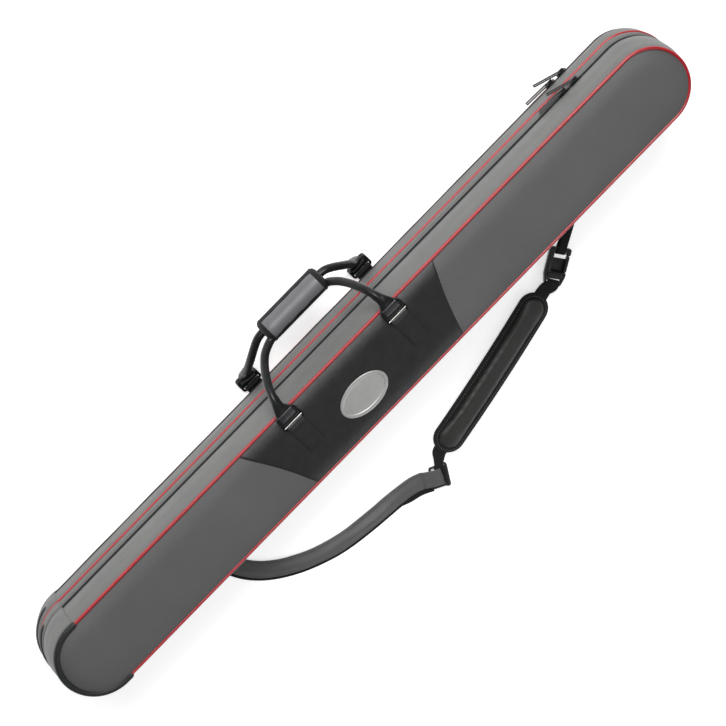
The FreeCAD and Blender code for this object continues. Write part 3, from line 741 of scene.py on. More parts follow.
# Piping as (name, radius, z, wire, body, node). The middle one runs all the way round.
for name, radius, z, wire, body, node in (("frontPiping", 62.2, 156.9, 2.6, "front_lid", "front_piping"),
                                          ("backPiping", 49.5, 5.0, 2.9, "rear_shell", "back_piping"),
                                          ("middlePiping", 67.3, 70.0, 2.4, "middle", "middle_piping")):
    closed = name == "middlePiping"
    path = outlinePath(0, outlineRun if closed else outlineRun - capRun, radius, z)
    settle(tubePiece(name, [path[:-1] if closed else path], wire, "redPiping", 14, closed), body,
           (node,))

guard = {"radius": 5.1, "over": 13.0, "taper": 4.0, "groove": 1.4, "grooveTurn": 140.0}


# Edge guard: a round bead with a groove on its inner side, thinner towards both ends.
def makeGuard(name, radius, z, grooveSign):
    start, end = outlineRun - capRun - guard["over"], outlineRun + guard["over"]
    stops = stations(start, end, [start + 1.5 * i for i in range(1, 9)] + [end - 1.5 * i for i in range(1, 9)])
    rows = []
    for t in stops:
        fromEnd = min(t - start, end - t)
        size = 0.72 + 0.28 * smooth(fromEnd / guard["taper"])
        row = []
        for i in range(32):
            turn = 360.0 * i / 32
            away = abs((turn - grooveSign * guard["grooveTurn"] + 180) % 360 - 180)
            bead = guard["radius"] * size - guard["groove"] * size * max(0.0, 1 - away / 14.0)
            row.append(onOutline(t, radius + bead * math.cos(math.radians(turn)),
                                 z + bead * math.sin(math.radians(turn))))
        rows.append(row)
    return gridPiece(name, rows, "rubber", closedColumns=True, caps=True, sharp=60.0)


settle(makeGuard("frontGuard", 62.5, 157.0, 1), "front_lid", ("front_butt_guard",))
settle(makeGuard("backGuard", 49.5, 5.6, -1), "rear_shell", ("back_butt_guard",))

bumper = {"inner": 67.2, "depth": 5.2, "height": 10.5, "taper": 9.0}


def makeBumper(name, middleZ, halfAngle):
    reach = math.radians(halfAngle) * outline["radius"]
    start, end = buttMiddle - reach, buttMiddle + reach
    stops = stations(start, end, [start + 1.2 * i for i in range(1, 7)] + [end - 1.2 * i for i in range(1, 7)])
    rows = []
    for t in stops:
        size = math.sqrt(1 - (1 - min(1.0, (min(t - start, end - t) + 0.3) / bumper["taper"])) ** 2)
        row = []
        for a, b in ovalSection(bumper["depth"], bumper["height"] / 2 * (0.55 + 0.45 * size), 2.8, 24):
            rib = 0.35 if abs(b) < 1.3 else 0.0   # shallow rib along the middle
            row.append(onOutline(t, bumper["inner"] + max(a * size + rib * size, -1.0), middleZ + b))
        rows.append(row)
    return gridPiece(name, rows, "rubber", closedColumns=True, caps=True, sharp=60.0)


settle(makeBumper("frontBumper", 81.0, 66.0), "middle", ("front_butt_bumper",))
settle(makeBumper("rearBumper", 55.0, 82.0), "middle", ("rear_butt_bumper",))
print("walls, piping and guards made")

# Zips: how wide each half's tape is, the spacing of the teeth and their size.
zipValues = {"tape": 4.0, "pitch": 2.4, "tooth": (1.15, 2.3, 1.5)}


def makeZipHalf(name, radius, seamZ, side, body, node):
    lowZ, highZ = sorted((seamZ + side * 0.15, seamZ + side * (zipValues["tape"] + 0.6)))
    section = [(radius - 1.6, lowZ), (radius - 0.2, lowZ), (radius, (lowZ + highZ) / 2), (radius - 0.3, highZ),
               (radius - 1.6, highZ)]
    stops = stations(zipStart - 2, zipEnd)
    rows = [[onOutline(t, r, z) for r, z in section] for t in stops]
    settle(gridPiece(name + "Tape", rows, "zipTape", closedColumns=True, caps=True), body, (node,))
    shift = zipValues["pitch"] / 2 if side > 0 else 0.0
    path = [onOutline(t, radius + 0.15, seamZ + side * 1.0) for t in stations(zipStart + shift, zipEnd - 2)]
    stitchPiece(name + "Teeth", [path], body, "zipTeeth", zipValues["pitch"], zipValues["tooth"], 3)


makeZipHalf("frontZipUpper", 66.3, 92.0, 1, "front_lid", "front_zip_upper")
makeZipHalf("frontZipLower", 66.3, 92.0, -1, "middle", "front_zip_lower")
makeZipHalf("rearZipUpper", 63.1, 30.0, 1, "middle", "rear_zip_upper")
makeZipHalf("rearZipLower", 63.1, 30.0, -1, "rear_shell", "rear_zip_lower")
hems = (("frontGussetStitches", "frontGusset", 99.6, "front_lid"),
        ("middleFrontStitches", "middleFrontWall", 84.6, "middle"),
        ("middleRearStitches", "middleRearWall", 37.2, "middle"),
        ("backGussetStitches", "backGusset", 23.6, "rear_shell"))
for name, wallName, z, body in hems:
    path = [onOutline(t, wallAt(wallName, t)[2](z) + 0.15, z) for t in stations(zipStart + 4, zipEnd - 4)]
    stitchPiece(name, [path], body, "greyThread", 4.2, (3.0, 0.8, 0.6), 5)
print("zips made")

# Interior: quilted linings, foam rests and belts.
quilt = {"pitch": 44.0, "rise": 1.1}


def quilted(x, y):
    return quilt["rise"] * (abs(math.sin(math.pi * (x + y) / quilt["pitch"]))
                            * abs(math.sin(math.pi * (x - y) / quilt["pitch"]))) ** 0.5


liningInsets = (0, 1, 3, 6, 10, 14, 18, 22, 26, 30, 34, 38, 42, 46, 50, 54, 58)
# Linings as (name, edge radius, quilted z, way the quilting rises, flat z, body, nodes).
linings = (("dividerLining", 62.0, 71.9, 1, 71.5, "middle", ("divider_lining",)),
           ("dividerUnderside", 60.5, 68.1, -1, 68.5, "middle", ()),
           ("frontLidLining", 58.5, 152.6, -1, 153.0, "front_lid", ("front_lining",)),
           ("backLining", 45.8, 6.4, 1, 6.0, "rear_shell", ("back_lining",)))
for name, edge, level, way, flatZ, body, nodes in linings:
    settle(pillowPiece(name, edge, lambda x, y: level + way * quilted(x, y), flatZ, "lining", liningInsets),
           body, nodes)

rests = {"places": (-420.0, 0.0, 420.0), "half": 25.0, "height": 13.0, "groove": 9.0,
         "grooves": (-0.72, -0.24, 0.24, 0.72), "strap": (24.0, 1.5), "round": 2.0}


def restTop(y, halfWidth):
    top = rests["height"]
    for share in rests["grooves"]:
        away = abs(y - share * halfWidth)
        if away < rests["groove"]:
            top = min(top, rests["height"] + 1 - math.sqrt(rests["groove"] ** 2 - away ** 2))
    return top


def makeRests(name, floorZ, halfWidth, body):
    blocks, belts = [], []
    count = 60
    for x in rests["places"]:
        rows = []
        for i in range(count + 1):
            y = -halfWidth + 2 * halfWidth * i / count
            inset = rests["round"] * (1 - math.sqrt(1 - (1 - min(1, (halfWidth - abs(y)) / rests["round"])) ** 2))
            top = floorZ + restTop(y, halfWidth) - inset
            half, r = rests["half"], rests["round"]
            rows.append([(x - half, y, floorZ), (x - half, y, top - r), (x - half + r * 0.3, y, top - r * 0.3),
                         (x - half + r, y, top), (x + half - r, y, top), (x + half - r * 0.3, y, top - r * 0.3),
                         (x + half, y, top - r), (x + half, y, floorZ)])
        blocks.append(gridPiece("block", rows, "foam", closedColumns=True, caps=True))
        path = [Vector((x, -halfWidth + 2 * halfWidth * i / count, 0)) for i in range(count + 1)]
        for p in path:
            p.z = floorZ + rests["height"] + 0.75 - 0.16 * (rests["height"] - restTop(p.y, halfWidth))
        belts.append(sweepPiece("belt", path, lambda i, s: stripSection(*rests["strap"]), "webbing",
                                upward=(0, 0, 1)))
    settle(gathered(name + "Rests", blocks), body, (name + "_rod_rests",))
    settle(gathered(name + "Belts", belts), body, (name + "_rod_belts",))


makeRests("front", 72.5, 60.0, "middle")
makeRests("rear", 7.5, 44.0, "rear_shell")
for node, finish in (("divider_board", "board"), ("front_board", "board"), ("back_board", "board"),
                     ("back_panel", "greyClothPlate")):
    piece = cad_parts[node]
    piece.data.materials.clear()
    piece.data.materials.append(finishes[finish])
print("interior made")

# Badge: a plain oval with a raised rim. Each ring is (half length, half width, rise).
badge = {"centre": (-33.0, -11.0), "base": 163.2, "steps": 72, "rings": (
    (44.0, 27.0, 0.0), (44.2, 27.2, 0.8), (43.6, 26.6, 1.5), (42.6, 25.6, 1.7), (39.6, 22.6, 1.7),
    (38.6, 21.6, 1.5), (38.0, 21.0, 0.9), (36.0, 19.4, 1.0), (26.0, 14.0, 1.35), (13.0, 7.0, 1.5),
    (0.0, 0.0, 1.55))}
badgeX, badgeY = badge["centre"]
turns = [math.tau * i / badge["steps"] for i in range(badge["steps"])]
rows = [[(badgeX, badgeY, badge["base"])] * badge["steps"]]
for long, short, rise in badge["rings"]:
    rows.append([(badgeX + long * math.cos(turn), badgeY + short * math.sin(turn), badge["base"] + rise)
                 for turn in turns])
settle(gridPiece("badge", rows, "badgeMetal", closedColumns=True, weld=True, sharp=30.0), "front_lid",
       ("badge",))

# Rings, tabs and handles. A hinge is (y, z).
ring = {"half": 17.0, "pitch": 12.0, "wire": 2.0, "corner": 2.6}
frontRings, rearRings = (86.0, -134.0), (98.0, -142.0)
frontHinge, rearHinge = (40.0, 168.2), (61.0, 5.4)


def ringPath(x, y, z, pitch=ring["pitch"]):
    path = []
    corners = ((1, 1, 0), (-1, 1, 90), (-1, 0, 180), (1, 0, 270))
    for side, far, turn in corners:
        cx = x + side * (ring["half"] - ring["corner"])
        cy = y + (pitch - ring["corner"] if far else ring["corner"])
        for i in range(6):
            angle = math.radians(turn + 18 * i)
            path.append((cx + ring["corner"] * math.cos(angle), cy + ring["corner"] * math.sin(angle), z))
    return path


settle(tubePiece("frontRings", [ringPath(x, *frontHinge) for x in frontRings], ring["wire"], "ringMetal", 12, True),
       "front_handle", ("front_handle_rings",))
settle(tubePiece("rearRings", [ringPath(x, *rearHinge) for x in rearRings], ring["wire"], "ringMetal", 12, True),
       "rear_handle", ("rear_handle_rings",))


# Turns round a bar: points in the y-z plane from one angle to another.
def roundBar(y, z, radius, fromTurn, toTurn, count=12):
    turns = [math.radians(fromTurn + (toTurn - fromTurn) * i / count) for i in range(count + 1)]
    return [(y + radius * math.cos(t), z + radius * math.sin(t)) for t in turns]


def stripInPlane(name, x, path, width, thick, finish):
    points = [Vector((x, y, z)) for y, z in path]
    return sweepPiece(name, points, lambda i, s: stripSection(width, thick, 6), finish, side=(1, 0, 0))


def sampled(path, step):
    found = []
    for (ya, za), (yb, zb) in zip(path, path[1:]):
        pieces = max(1, round(math.hypot(yb - ya, zb - za) / step))
        found += [(ya + (yb - ya) * i / pieces, za + (zb - za) * i / pieces) for i in range(pieces)]
    return found + [path[-1]]


tabSeam = {"half": 12.2, "low": -12.4, "high": 29.0, "sideEnd": 30.0, "cross": 8.0, "z": 165.55}
tabPieces, tabSeams = [], []
for x in frontRings:
    y, z = frontHinge
    path = sampled([(-15.0, 163.8), (33.0, 163.8), (38.0, 164.8)], 4.0)
    path += roundBar(y, z, 3.1, -75, 185) + [(35.6, 166.0), (33.5, 165.1), (31.0, 164.95)]
    path += sampled([(28.0, 164.9), (-14.6, 164.9)], 6.0)
    tabPieces.append(stripInPlane("tab", x, path, 30.0, 1.15, "blackCloth"))
    left, right = x - tabSeam["half"], x + tabSeam["half"]
    low, high, cross = tabSeam["low"], tabSeam["high"], tabSeam["cross"]
    ends = [((left, low), (left, tabSeam["sideEnd"])), ((right, low), (right, tabSeam["sideEnd"]))]
    ends += [((left, y), (right, y)) for y in (low, high, cross)]
    ends += [((left, low), (right, cross)), ((right, low), (left, cross))]   # crossed, so that the tab holds
    tabSeams += [[(*start, tabSeam["z"]), (*end, tabSeam["z"])] for start, end in ends]
settle(gathered("frontTabs", tabPieces), "front_lid", ("front_tabs",))
stitchPiece("frontTabStitches", tabSeams, "front_lid", "thread", 2.6, (2.0, 0.7, 0.5))
tabPieces = []
for x in rearRings:
    y, z = rearHinge
    path = sampled([(5.0, 1.0), (52.0, 1.0), (57.0, 1.6)], 5.0) + roundBar(y, z, 3.3, -115, 170)
    path += [(57.2, 4.2), (55.0, 2.8), (51.0, 2.2)]
    tabPieces.append(stripInPlane("tab", x, path, 28.0, 1.2, "webbing"))
settle(gathered("backTabs", tabPieces), "rear_shell", ("back_tabs",))

handle = {"arm": 6.5, "grip": (-73.0, 48.0), "gripY": 137.0, "gripZ": 80.0, "gripHalf": (19.5, 23.0),
          "offset": 14.5, "lean": 8.0, "keeper": (26.0, 13.0, 2.2)}
frontArms = (((86, 76, 170), (83.5, 89, 166), (79.5, 102, 155), (73.5, 112.5, 139), (66.5, 120, 123),
              (58, 126, 109)),
             ((-134, 76, 170), (-130, 90, 166.5), (-123.5, 103, 153), (-114.5, 112.5, 137), (-104, 120, 121),
              (-91, 126, 107)))
rearArms = (((97, 86, 15), (95.5, 92.5, 28), (91, 100, 42), (82.5, 111, 53), (71, 123, 60), (58.5, 132, 64)),
            ((-140.5, 86, 15), (-136, 92.5, 28), (-127, 101, 41), (-115, 112, 52), (-101, 123, 59.5),
             (-86, 132, 64)))
keeperProfile = ((-1, -1.2), (-1, 0.5), (-0.86, 0.9), (-0.5, 1.0), (0.5, 1.0), (0.86, 0.9), (1, 0.5), (1, -1.2))


# One handle; rise is 1 for the front one, whose half of the grip is the upper one, and -1 for the rear.
def makeHandle(name, body, ringXs, hinge, arms, rise):
    armZ = handle["gripZ"] + rise * handle["offset"]
    armY = handle["gripY"] - handle["lean"] * (1 if rise > 0 else 0.3)
    far, near = handle["grip"][1] - 2, handle["grip"][0] + 2
    route = list(arms[0]) + [(far + (near - far) * i / 7, armY, armZ) for i in range(8)] + list(arms[1])[::-1]
    path = smoothLine(route, 6)

    def armSection(i, share):
        points = []
        for k in range(24):
            turn = math.tau * k / 24
            away = abs((math.degrees(turn) - 90 + 180) % 360 - 180)
            size = handle["arm"] + 0.75 * max(0.0, 1 - away / 22.0)   # the folded seam along the arm
            points.append((size * math.cos(turn), size * math.sin(turn)))
        return points

    settle(sweepPiece(name + "Arm", path, armSection, "leather", start=(0, 0.4, 1)), body,
           (name + "_arm",))
    seams = []
    for offset in (-3.1, 3.1):
        frames = framesAlong(path, start=(0, 0.4, 1))
        seams.append([p + across * offset + normal * 6.05 for p, across, normal in frames[2:-2]])
    stitchPiece(name + "ArmStitches", seams, body, "thread", 4.0, (2.8, 0.8, 0.6))

    # leather ends: wide and flat round the ring's bar, then drawn in to the round arm
    ends, keepers = [], []
    y, z = hinge[0] + ring["pitch"], hinge[1]
    heel = 4.3 if rise > 0 else 6.4
    for x, run in zip(ringXs, arms):
        first, second, third = Vector(run[0]), Vector(run[1]), Vector(run[2])
        line = smoothLine([Vector((x, y - heel, z)), Vector((x, y, z)), Vector((x, y + 5, z)).lerp(first, 0.08),
                           first.lerp(Vector((x, y, z)), 0.45), first, first.lerp(second, 0.6),
                           second.lerp(third, 0.15)], 5)
        shares = ((0.0, 17.6, 3.0), (0.05, 19.0, 4.2), (0.36, 18.8, 5.0), (0.47, 17.4, 5.3), (0.56, 13.0, 5.8),
                  (0.68, 9.4, 6.4), (0.84, 7.6, 6.9), (1.0, 7.0, 7.0))

        def endSection(i, share):
            for (a, wa, ha), (b, wb, hb) in zip(shares, shares[1:]):
                if share <= b + 1e-6:
                    s = (share - a) / (b - a)
                    return ovalSection(wa + (wb - wa) * s, ha + (hb - ha) * s, 3.6 - 1.6 * smooth(share * 1.1), 28)

        ends.append(sweepPiece("end", line, endSection, "leather", start=(0, 0.1, 1), sharp=60.0))
        frames = framesAlong(line, start=(0, 0.1, 1))
        place, across, normal = frames[12]
        length, width, deep = handle["keeper"]
        tangent = normal.cross(across)
        rows = []
        for i in range(9):
            a = -0.5 + i / 8
            dip = 0.5 * max(0, abs(a) * 2 - 0.72)
            centre = place + across * (a * length) + normal * (5.2 - 0.7 * (2 * a) ** 2)
            rows.append([centre + tangent * (b * width / 2) + normal * (h * (deep - dip))
                         for b, h in keeperProfile])
        # the keepers take the lighter copy of the leather, painted sheen
        keepers.append(gridPiece("keeper", rows, "keeperLeatherPaintedSheen", closedColumns=True, caps=True))
    settle(gathered(name + "LeatherEnds", ends), body, (name + "_leather_ends",))
    settle(gathered(name + "Keepers", keepers), body)

    # half of the wrapped grip, with its bound edges
    lowTurn, highTurn = (0.0, 180.0) if rise > 0 else (180.0, 360.0)
    parting = handle["gripZ"] + rise * 0.25

    def gripRow(x, grow, fromTurn, toTurn, count=22):
        row = []
        for i in range(count + 1):
            turn = math.radians(fromTurn + (toTurn - fromTurn) * i / count)
            y = handle["gripY"] + (handle["gripHalf"][0] + grow) * math.cos(turn)
            z = handle["gripZ"] + (handle["gripHalf"][1] + grow) * math.sin(turn)
            row.append((x, y, max(z, parting) if rise > 0 else min(z, parting)))
        return row

    low, high = handle["grip"]
    xs = [(low, -9.0), (low + 0.8, -6.0), (low + 2.2, -3.8), (low + 4.4, -2.0), (low + 7.4, -0.7)]
    xs += [(low + 11 + (high - low - 22) * i / 12, 0.3 * math.sin(i * 1.9)) for i in range(13)]
    xs += [(high - 7.4, -0.7), (high - 4.4, -2.0), (high - 2.2, -3.8), (high - 0.8, -6.0), (high, -9.0)]
    rows = [gripRow(x, grow, lowTurn, highTurn) for x, grow in xs]
    settle(gridPiece(name + "Grip", rows, "gripCloth", closedColumns=True, caps=True, sharp=50.0), body,
           (name + "_grip_half",))
    bands = []
    for end, inward in ((low - 0.6, 1), (high + 0.6, -1)):
        rows = []
        for step, grow in ((0.0, -9.5), (0.4, -6.6), (1.3, -4.0), (2.8, -2.0), (4.8, -0.6), (6.8, 0.4), (8.2, 0.7),
                           (9.0, 0.6), (9.5, -0.3)):
            outer = gripRow(end + inward * step, grow, lowTurn, highTurn)
            rows.append(outer + gripRow(end + inward * step, min(grow - 1.2, -3.6), highTurn, lowTurn))
        bands.append(gridPiece("band", rows, "webbing", closedColumns=True, caps=True))
    for centreTurn in ((6.0, 174.0) if rise > 0 else (186.0, 354.0)):
        rows = []
        for i in range(13):
            x = low + 8 + (high - low - 16) * i / 12
            outer = gripRow(x, 1.0, centreTurn - 8.0, centreTurn + 8.0, 6)
            outer[0] = gripRow(x, 0.2, centreTurn - 9.5, centreTurn + 8.0, 6)[0]
            outer[-1] = gripRow(x, 0.2, centreTurn - 8.0, centreTurn + 9.5, 6)[-1]
            rows.append(outer + gripRow(x, -1.5, centreTurn + 8.0, centreTurn - 8.0, 6))
        bands.append(gridPiece("band", rows, "webbing", closedColumns=True, caps=True))
    settle(gathered(name + "GripBinding", bands), body)


makeHandle("front", "front_handle", frontRings, frontHinge, frontArms, 1)
makeHandle("rear", "rear_handle", rearRings, rearHinge, rearArms, -1)
# A bright tube along each front ring's inner bar stands for the highlight the dark ring catches there: painted
# highlight.
bars = [[(x - 17.5, frontHinge[0] + 4.1, frontHinge[1] + 1.2), (x + 17.5, frontHinge[0] + 4.1, frontHinge[1] + 1.2)]
        for x in frontRings]
settle(tubePiece("frontRingBarHighlights", bars, 1.25, "ringBarHighlightMetal", 12), "front_handle")
print("handles made")

# Zip sliders and pulls keep their own shapes and take the metal finish.
for zipName in ("front", "rear"):
    for place in ("tip", "butt"):
        for kind in ("slider", "pull"):
            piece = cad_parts["%s_%s_%s" % (zipName, kind, place)]
            piece.data.materials.clear()
            piece.data.materials.append(finishes["zipMetal"])

# Shoulder strap: its middle line from the adjuster to the ring, as (x, y).
strapLine = ((-58.0, -271.4), (-72.0, -263.0), (-90.0, -256.0), (-118.0, -251.0), (-146.0, -248.0),
             (-175.0, -245.0), (-209.0, -240.0), (-236.0, -234.0), (-259.0, -226.0), (-282.0, -216.0),
             (-302.0, -205.0), (-321.0, -192.0), (-337.0, -178.0), (-350.0, -163.0), (-360.0, -147.0),
             (-367.0, -130.0), (-371.0, -113.0), (-372.0, -101.0))
strap = {"width": 28.0, "thick": 2.4, "ringX": -372.0, "ringY": -96.0, "ringZ": 8.0, "wave": 1.4, "fold": 4.2}


def strapPath(shift, z, first=0, last=None):
    line = smoothLine([(x, y, z) for x, y in strapLine[first:last]], 6)
    frames = framesAlong(line, upward=(0, 0, 1))
    return [p + across * shift for p, across, _ in frames]


# How far the strap rises over the floor: waves, and a long fold nearer its outer edge.
def strapLift(i, share, p):
    lift = strap["wave"] * (0.5 + 0.5 * wrinkle(p.x, p.y, 34.0, 2.2)) + 0.8 * wrinkle(p.x, p.y, 13.0, 6.4)
    ridge = share / 0.4 if share < 0.4 else (1 - share) / 0.6
    loose = smooth((i - 16) / 18) * smooth((112 - i) / 14)
    lift += strap["fold"] * smooth(ridge) * loose * (1 + 0.8 * wrinkle(i, share * 20, 14.0, 4.9))
    return p + Vector((0, 0, max(lift, -0.3)))


def strapWaves(i, j, p):
    column = j if j <= 10 else 10 if j < 14 else max(24 - j, 0)   # the same above and below
    return strapLift(i, column / 10, p)


path = smoothLine([(-42.4, -280.4, 3.8), (-44.6, -279.2, 7.4), (-50.0, -276.0, 9.4), (-59.0, -270.9, 8.4),
                   (-72.0, -263.0, 5.0)], 5)[:-1] + strapPath(0.0, 3.0, 1)
y, z = strap["ringY"], strap["ringZ"]
path += [Vector((strap["ringX"], a, b)) for a, b in roundBar(y, z, 3.7, -105, 150, 14)]
path += [Vector((strap["ringX"] + 0.4, y - 8.0, 7.2)), Vector((strap["ringX"] + 0.8, y - 20.0, 6.6))]
settle(sweepPiece("mainStrap", path, lambda i, s: stripSection(strap["width"], strap["thick"], 10), "strapCloth",
                  start=(0, 0, 1), shape=strapWaves), "rear_shell", ("strap_main",))
settle(sweepPiece("strapBacking", strapPath(-5.6, 1.1), lambda i, s: stripSection(28.0, 1.4, 6), "webbing",
                  upward=(0, 0, 1)), "rear_shell")
strapSeams = []
for shift in (-10.4, 10.4):
    strapSeams.append([strapLift(i + 18, 0.5 + shift / 25.6, p) + Vector((0, 0, 1.35))
                       for i, p in enumerate(strapPath(shift, 3.0))])
stitchPiece("strapStitches", strapSeams, "rear_shell", "thread", 3.4, (2.5, 0.8, 0.5))
settle(tubePiece("strapRing", [ringPath(strap["ringX"], y, z)], ring["wire"], "ringMetal", 12, True),
       "rear_shell", ("strap_ring",))
y += ring["pitch"]
path = [(-56.4, 14.4), (-64.0, 13.4), (-74.0, 12.0), (-81.0, 11.8)] + roundBar(y, z, 3.2, 95, 300, 14)
path += [(-80.0, 7.4), (-76.0, 9.4), (-70.0, 10.8)]
settle(stripInPlane("buttAnchor", strap["ringX"], path, 26.0, 1.6, "webbing"), "rear_shell",
       ("butt_anchor",))

# Pad: a bound flange with a raised cushion sewn to it. Layers are (how far inside the size, z).
pad = {"butt": (-22.0, -247.0), "tip": (267.0, -182.0), "length": 290.0, "width": 52.0,
       "cushion": (276.0, 39.0), "low": 7.0, "high": 14.6, "voxel": 3.5, "cap": 2.6, "pressure": 4.0}
padTurn = math.atan2(pad["tip"][1] - pad["butt"][1], pad["tip"][0] - pad["butt"][0])
padMiddle = Vector(((pad["tip"][0] + pad["butt"][0]) / 2, (pad["tip"][1] + pad["butt"][1]) / 2, 0))


# Places a point given along and across the pad, which bows slightly away from the case.
def onPad(a, b, z):
    bow = 3.0 * (1 - (2 * a / pad["length"]) ** 2)
    return padMiddle + Matrix.Rotation(padTurn, 3, "Z") @ Vector((a, b - bow, z))


def padOutline(length, width, count=18):
    points = []
    straight, radius = length / 2 - width / 2, width / 2
    for side in (1, -1):
        for i in range(count + 1):
            turn = math.radians(-90 + 180 * i / count + (0 if side > 0 else 180))
            points.append((side * straight + radius * math.cos(turn), radius * math.sin(turn)))
        for i in range(1, 30):
            points.append((side * straight * (1 - i / 15), side * radius))
    return points


def stackPiece(name, size, layers, finish):
    length, width = size
    rows = []
    for inside, z in layers:
        rows.append([onPad(a, b, z) for a, b in padOutline(length - 2 * inside, max(width - 2 * inside, 0.001))])
    return gridPiece(name, rows, finish, closedColumns=True, flatMap=True, weld=True, sharp=50.0)


flangeLayers = ((25.9, 3.0), (3, 3.0), (1.2, 3.4), (0.2, 4.6), (0.0, 6.2), (0.4, 8.4), (1.6, 9.6), (4.0, 9.8),
                (7.5, 9.2), (25.9, 9.2))
settle(stackPiece("padFlange", (pad["length"], pad["width"]), flangeLayers, "padCloth"), "rear_shell",
       ())
cushionLayers = ((19.4, pad["low"]), (1.0, pad["low"]), (0.2, pad["low"] + 1.4), (0.0, 10.0), (0.8, 12.2),
                 (2.4, 13.6), (5.0, pad["high"]), (19.4, pad["high"]))
cushion = stackPiece("padCushion", pad["cushion"], cushionLayers, "padFace")


# Swells a closed cushion with cloth simulation, no point moving further than the cap.
def swell(piece, voxel, cap, pressure, frames=20):
    remesh = piece.modifiers.new("remesh", "REMESH")
    remesh.mode = "VOXEL"
    remesh.voxel_size = voxel * mm
    applied(piece)
    before = [v.co.copy() for v in piece.data.vertices]
    cloth = piece.modifiers.new("cloth", "CLOTH")
    cloth.settings.use_pressure = True
    cloth.settings.uniform_pressure_force = pressure
    cloth.settings.effector_weights.gravity = 0
    scene = bpy.context.scene
    for step in range(1, frames + 1):
        scene.frame_set(step)
    applied(piece)
    scene.frame_set(1)
    for vertex, rest in zip(piece.data.vertices, before):
        moved = vertex.co - rest
        if moved.length > cap * mm:
            vertex.co = rest + moved.normalized() * cap * mm
    smoother = piece.modifiers.new("smoother", "SUBSURF")
    smoother.levels = smoother.render_levels = 1
    applied(piece)
    piece.data.shade_smooth()


swell(cushion, pad["voxel"], pad["cap"], pad["pressure"])
cushion.data.materials.clear()
cushion.data.materials.append(finishes["padFace"])
settle(cushion, "rear_shell", ("shoulder_pad",))
seam = [onPad(a, b, 10.2) for a, b in padOutline(pad["length"] - 9.5, pad["width"] - 9.5)]
stitchPiece("padStitches", [seam + seam[:1]], "rear_shell", "paleThread", 4.4, (3.0, 1.0, 0.9))

webbingLine = [onPad(-128, 0, 6.2), onPad(-140, 0, 6.4), onPad(-147, 0, 7.0)]
webbingLine += [Vector((-27.0, -252.0, 8.2)), Vector((-34.0, -259.0, 8.6)), Vector((-41.0, -268.0, 8.6)),
                Vector((-49.0, -276.0, 7.0))]


def webbingWidth(i, share):
    return stripSection(24.0 - 9.0 * smooth((share - 0.25) / 0.5) + 8.0 * smooth((share - 0.75) / 0.25), 2.0, 6)


tail = sweepPiece("tail", smoothLine(webbingLine, 6), webbingWidth, "webbing", upward=(0, 0, 1))
leadLine = [onPad(128, 0, 6.4), onPad(140, 0, 6.6), onPad(150, 0, 7.6), onPad(157, 0, 10.2), (283.5, -181.3, 13.0),
            (288.6, -181.0, 12.8), (291.6, -179.8, 9.6), (292.4, -179.4, 4.4)]   # down into the hook's slot
lead = sweepPiece("lead", smoothLine(leadLine, 5), lambda i, s: stripSection(25.0 - 4.0 * s, 2.0, 6), "webbing",
                  upward=(0, 0, 1))
settle(gathered("padWebbing", [tail, lead]), "rear_shell", ("pad_webbing",))


# The loose end under the strap, in two layers that narrow until the strap hides them.
def underlapSection(i, share):
    return stripSection(26.0 - 20.0 * smooth((share - 0.55) / 0.45), 1.3, 6)


underlap = []
for shift, z in ((-11.5, 1.0), (-9.0, 2.6)):
    line = smoothLine(strapPath(shift, z, 0, 5)[::4], 4)
    underlap.append(sweepPiece("layer", line, underlapSection, "webbing", upward=(0, 0, 1)))
settle(gathered("strapUnderlap", underlap), "rear_shell")


# Moulded plate with rounded edges, from outlines in its own frame: the first is its rim, the rest are holes.
def mouldedPlate(name, loops, lowZ, highZ, soften, place, turnDeg):
    curve = bpy.data.curves.new(name, "CURVE")
    curve.dimensions = "2D"
    curve.fill_mode = "BOTH"
    curve.extrude = ((highZ - lowZ) / 2 - soften) * mm
    curve.bevel_depth = soften * mm
    curve.bevel_resolution = 3
    curve.offset = -soften * mm
    for loop in loops:
        spline = curve.splines.new("POLY")
        spline.points.add(len(loop) - 1)
        for point, (x, y) in zip(spline.points, loop):
            point.co = (x * mm, y * mm, 0, 1)
        spline.use_cyclic_u = True
    maker = bpy.data.objects.new(name + "Maker", curve)
    bpy.context.scene.collection.objects.link(maker)
    bpy.context.view_layer.update()
    data = bpy.data.meshes.new_from_object(maker.evaluated_get(bpy.context.evaluated_depsgraph_get()))
    bpy.data.objects.remove(maker)
    data.transform(Matrix.Translation((place[0] * mm, place[1] * mm, (lowZ + highZ) / 2 * mm))
                   @ Matrix.Rotation(math.radians(turnDeg), 4, "Z"))
    mesh = bmesh.new()
    mesh.from_mesh(data)
    bmesh.ops.remove_doubles(mesh, verts=mesh.verts[:], dist=1e-6)
    bmesh.ops.recalc_face_normals(mesh, faces=mesh.faces[:])
    return finished(name, mesh, "plastic", 35.0)


def rounded(corners, radius, count=4):
    found = []
    for i, corner in enumerate(corners):
        here = Vector(corner)
        before, after = Vector(corners[i - 1]), Vector(corners[(i + 1) % len(corners)])
        reach = min(radius, (before - here).length * 0.45, (after - here).length * 0.45)
        a = here + (before - here).normalized() * reach
        b = here + (after - here).normalized() * reach
        for k in range(count + 1):
            s = k / count
            found.append(tuple(a * (1 - s) ** 2 + here * 2 * s * (1 - s) + b * s ** 2))
    return found


def slab(lowX, lowY, highX, highY, radius):
    return rounded([(lowX, lowY), (highX, lowY), (highX, highY), (lowX, highY)], radius)


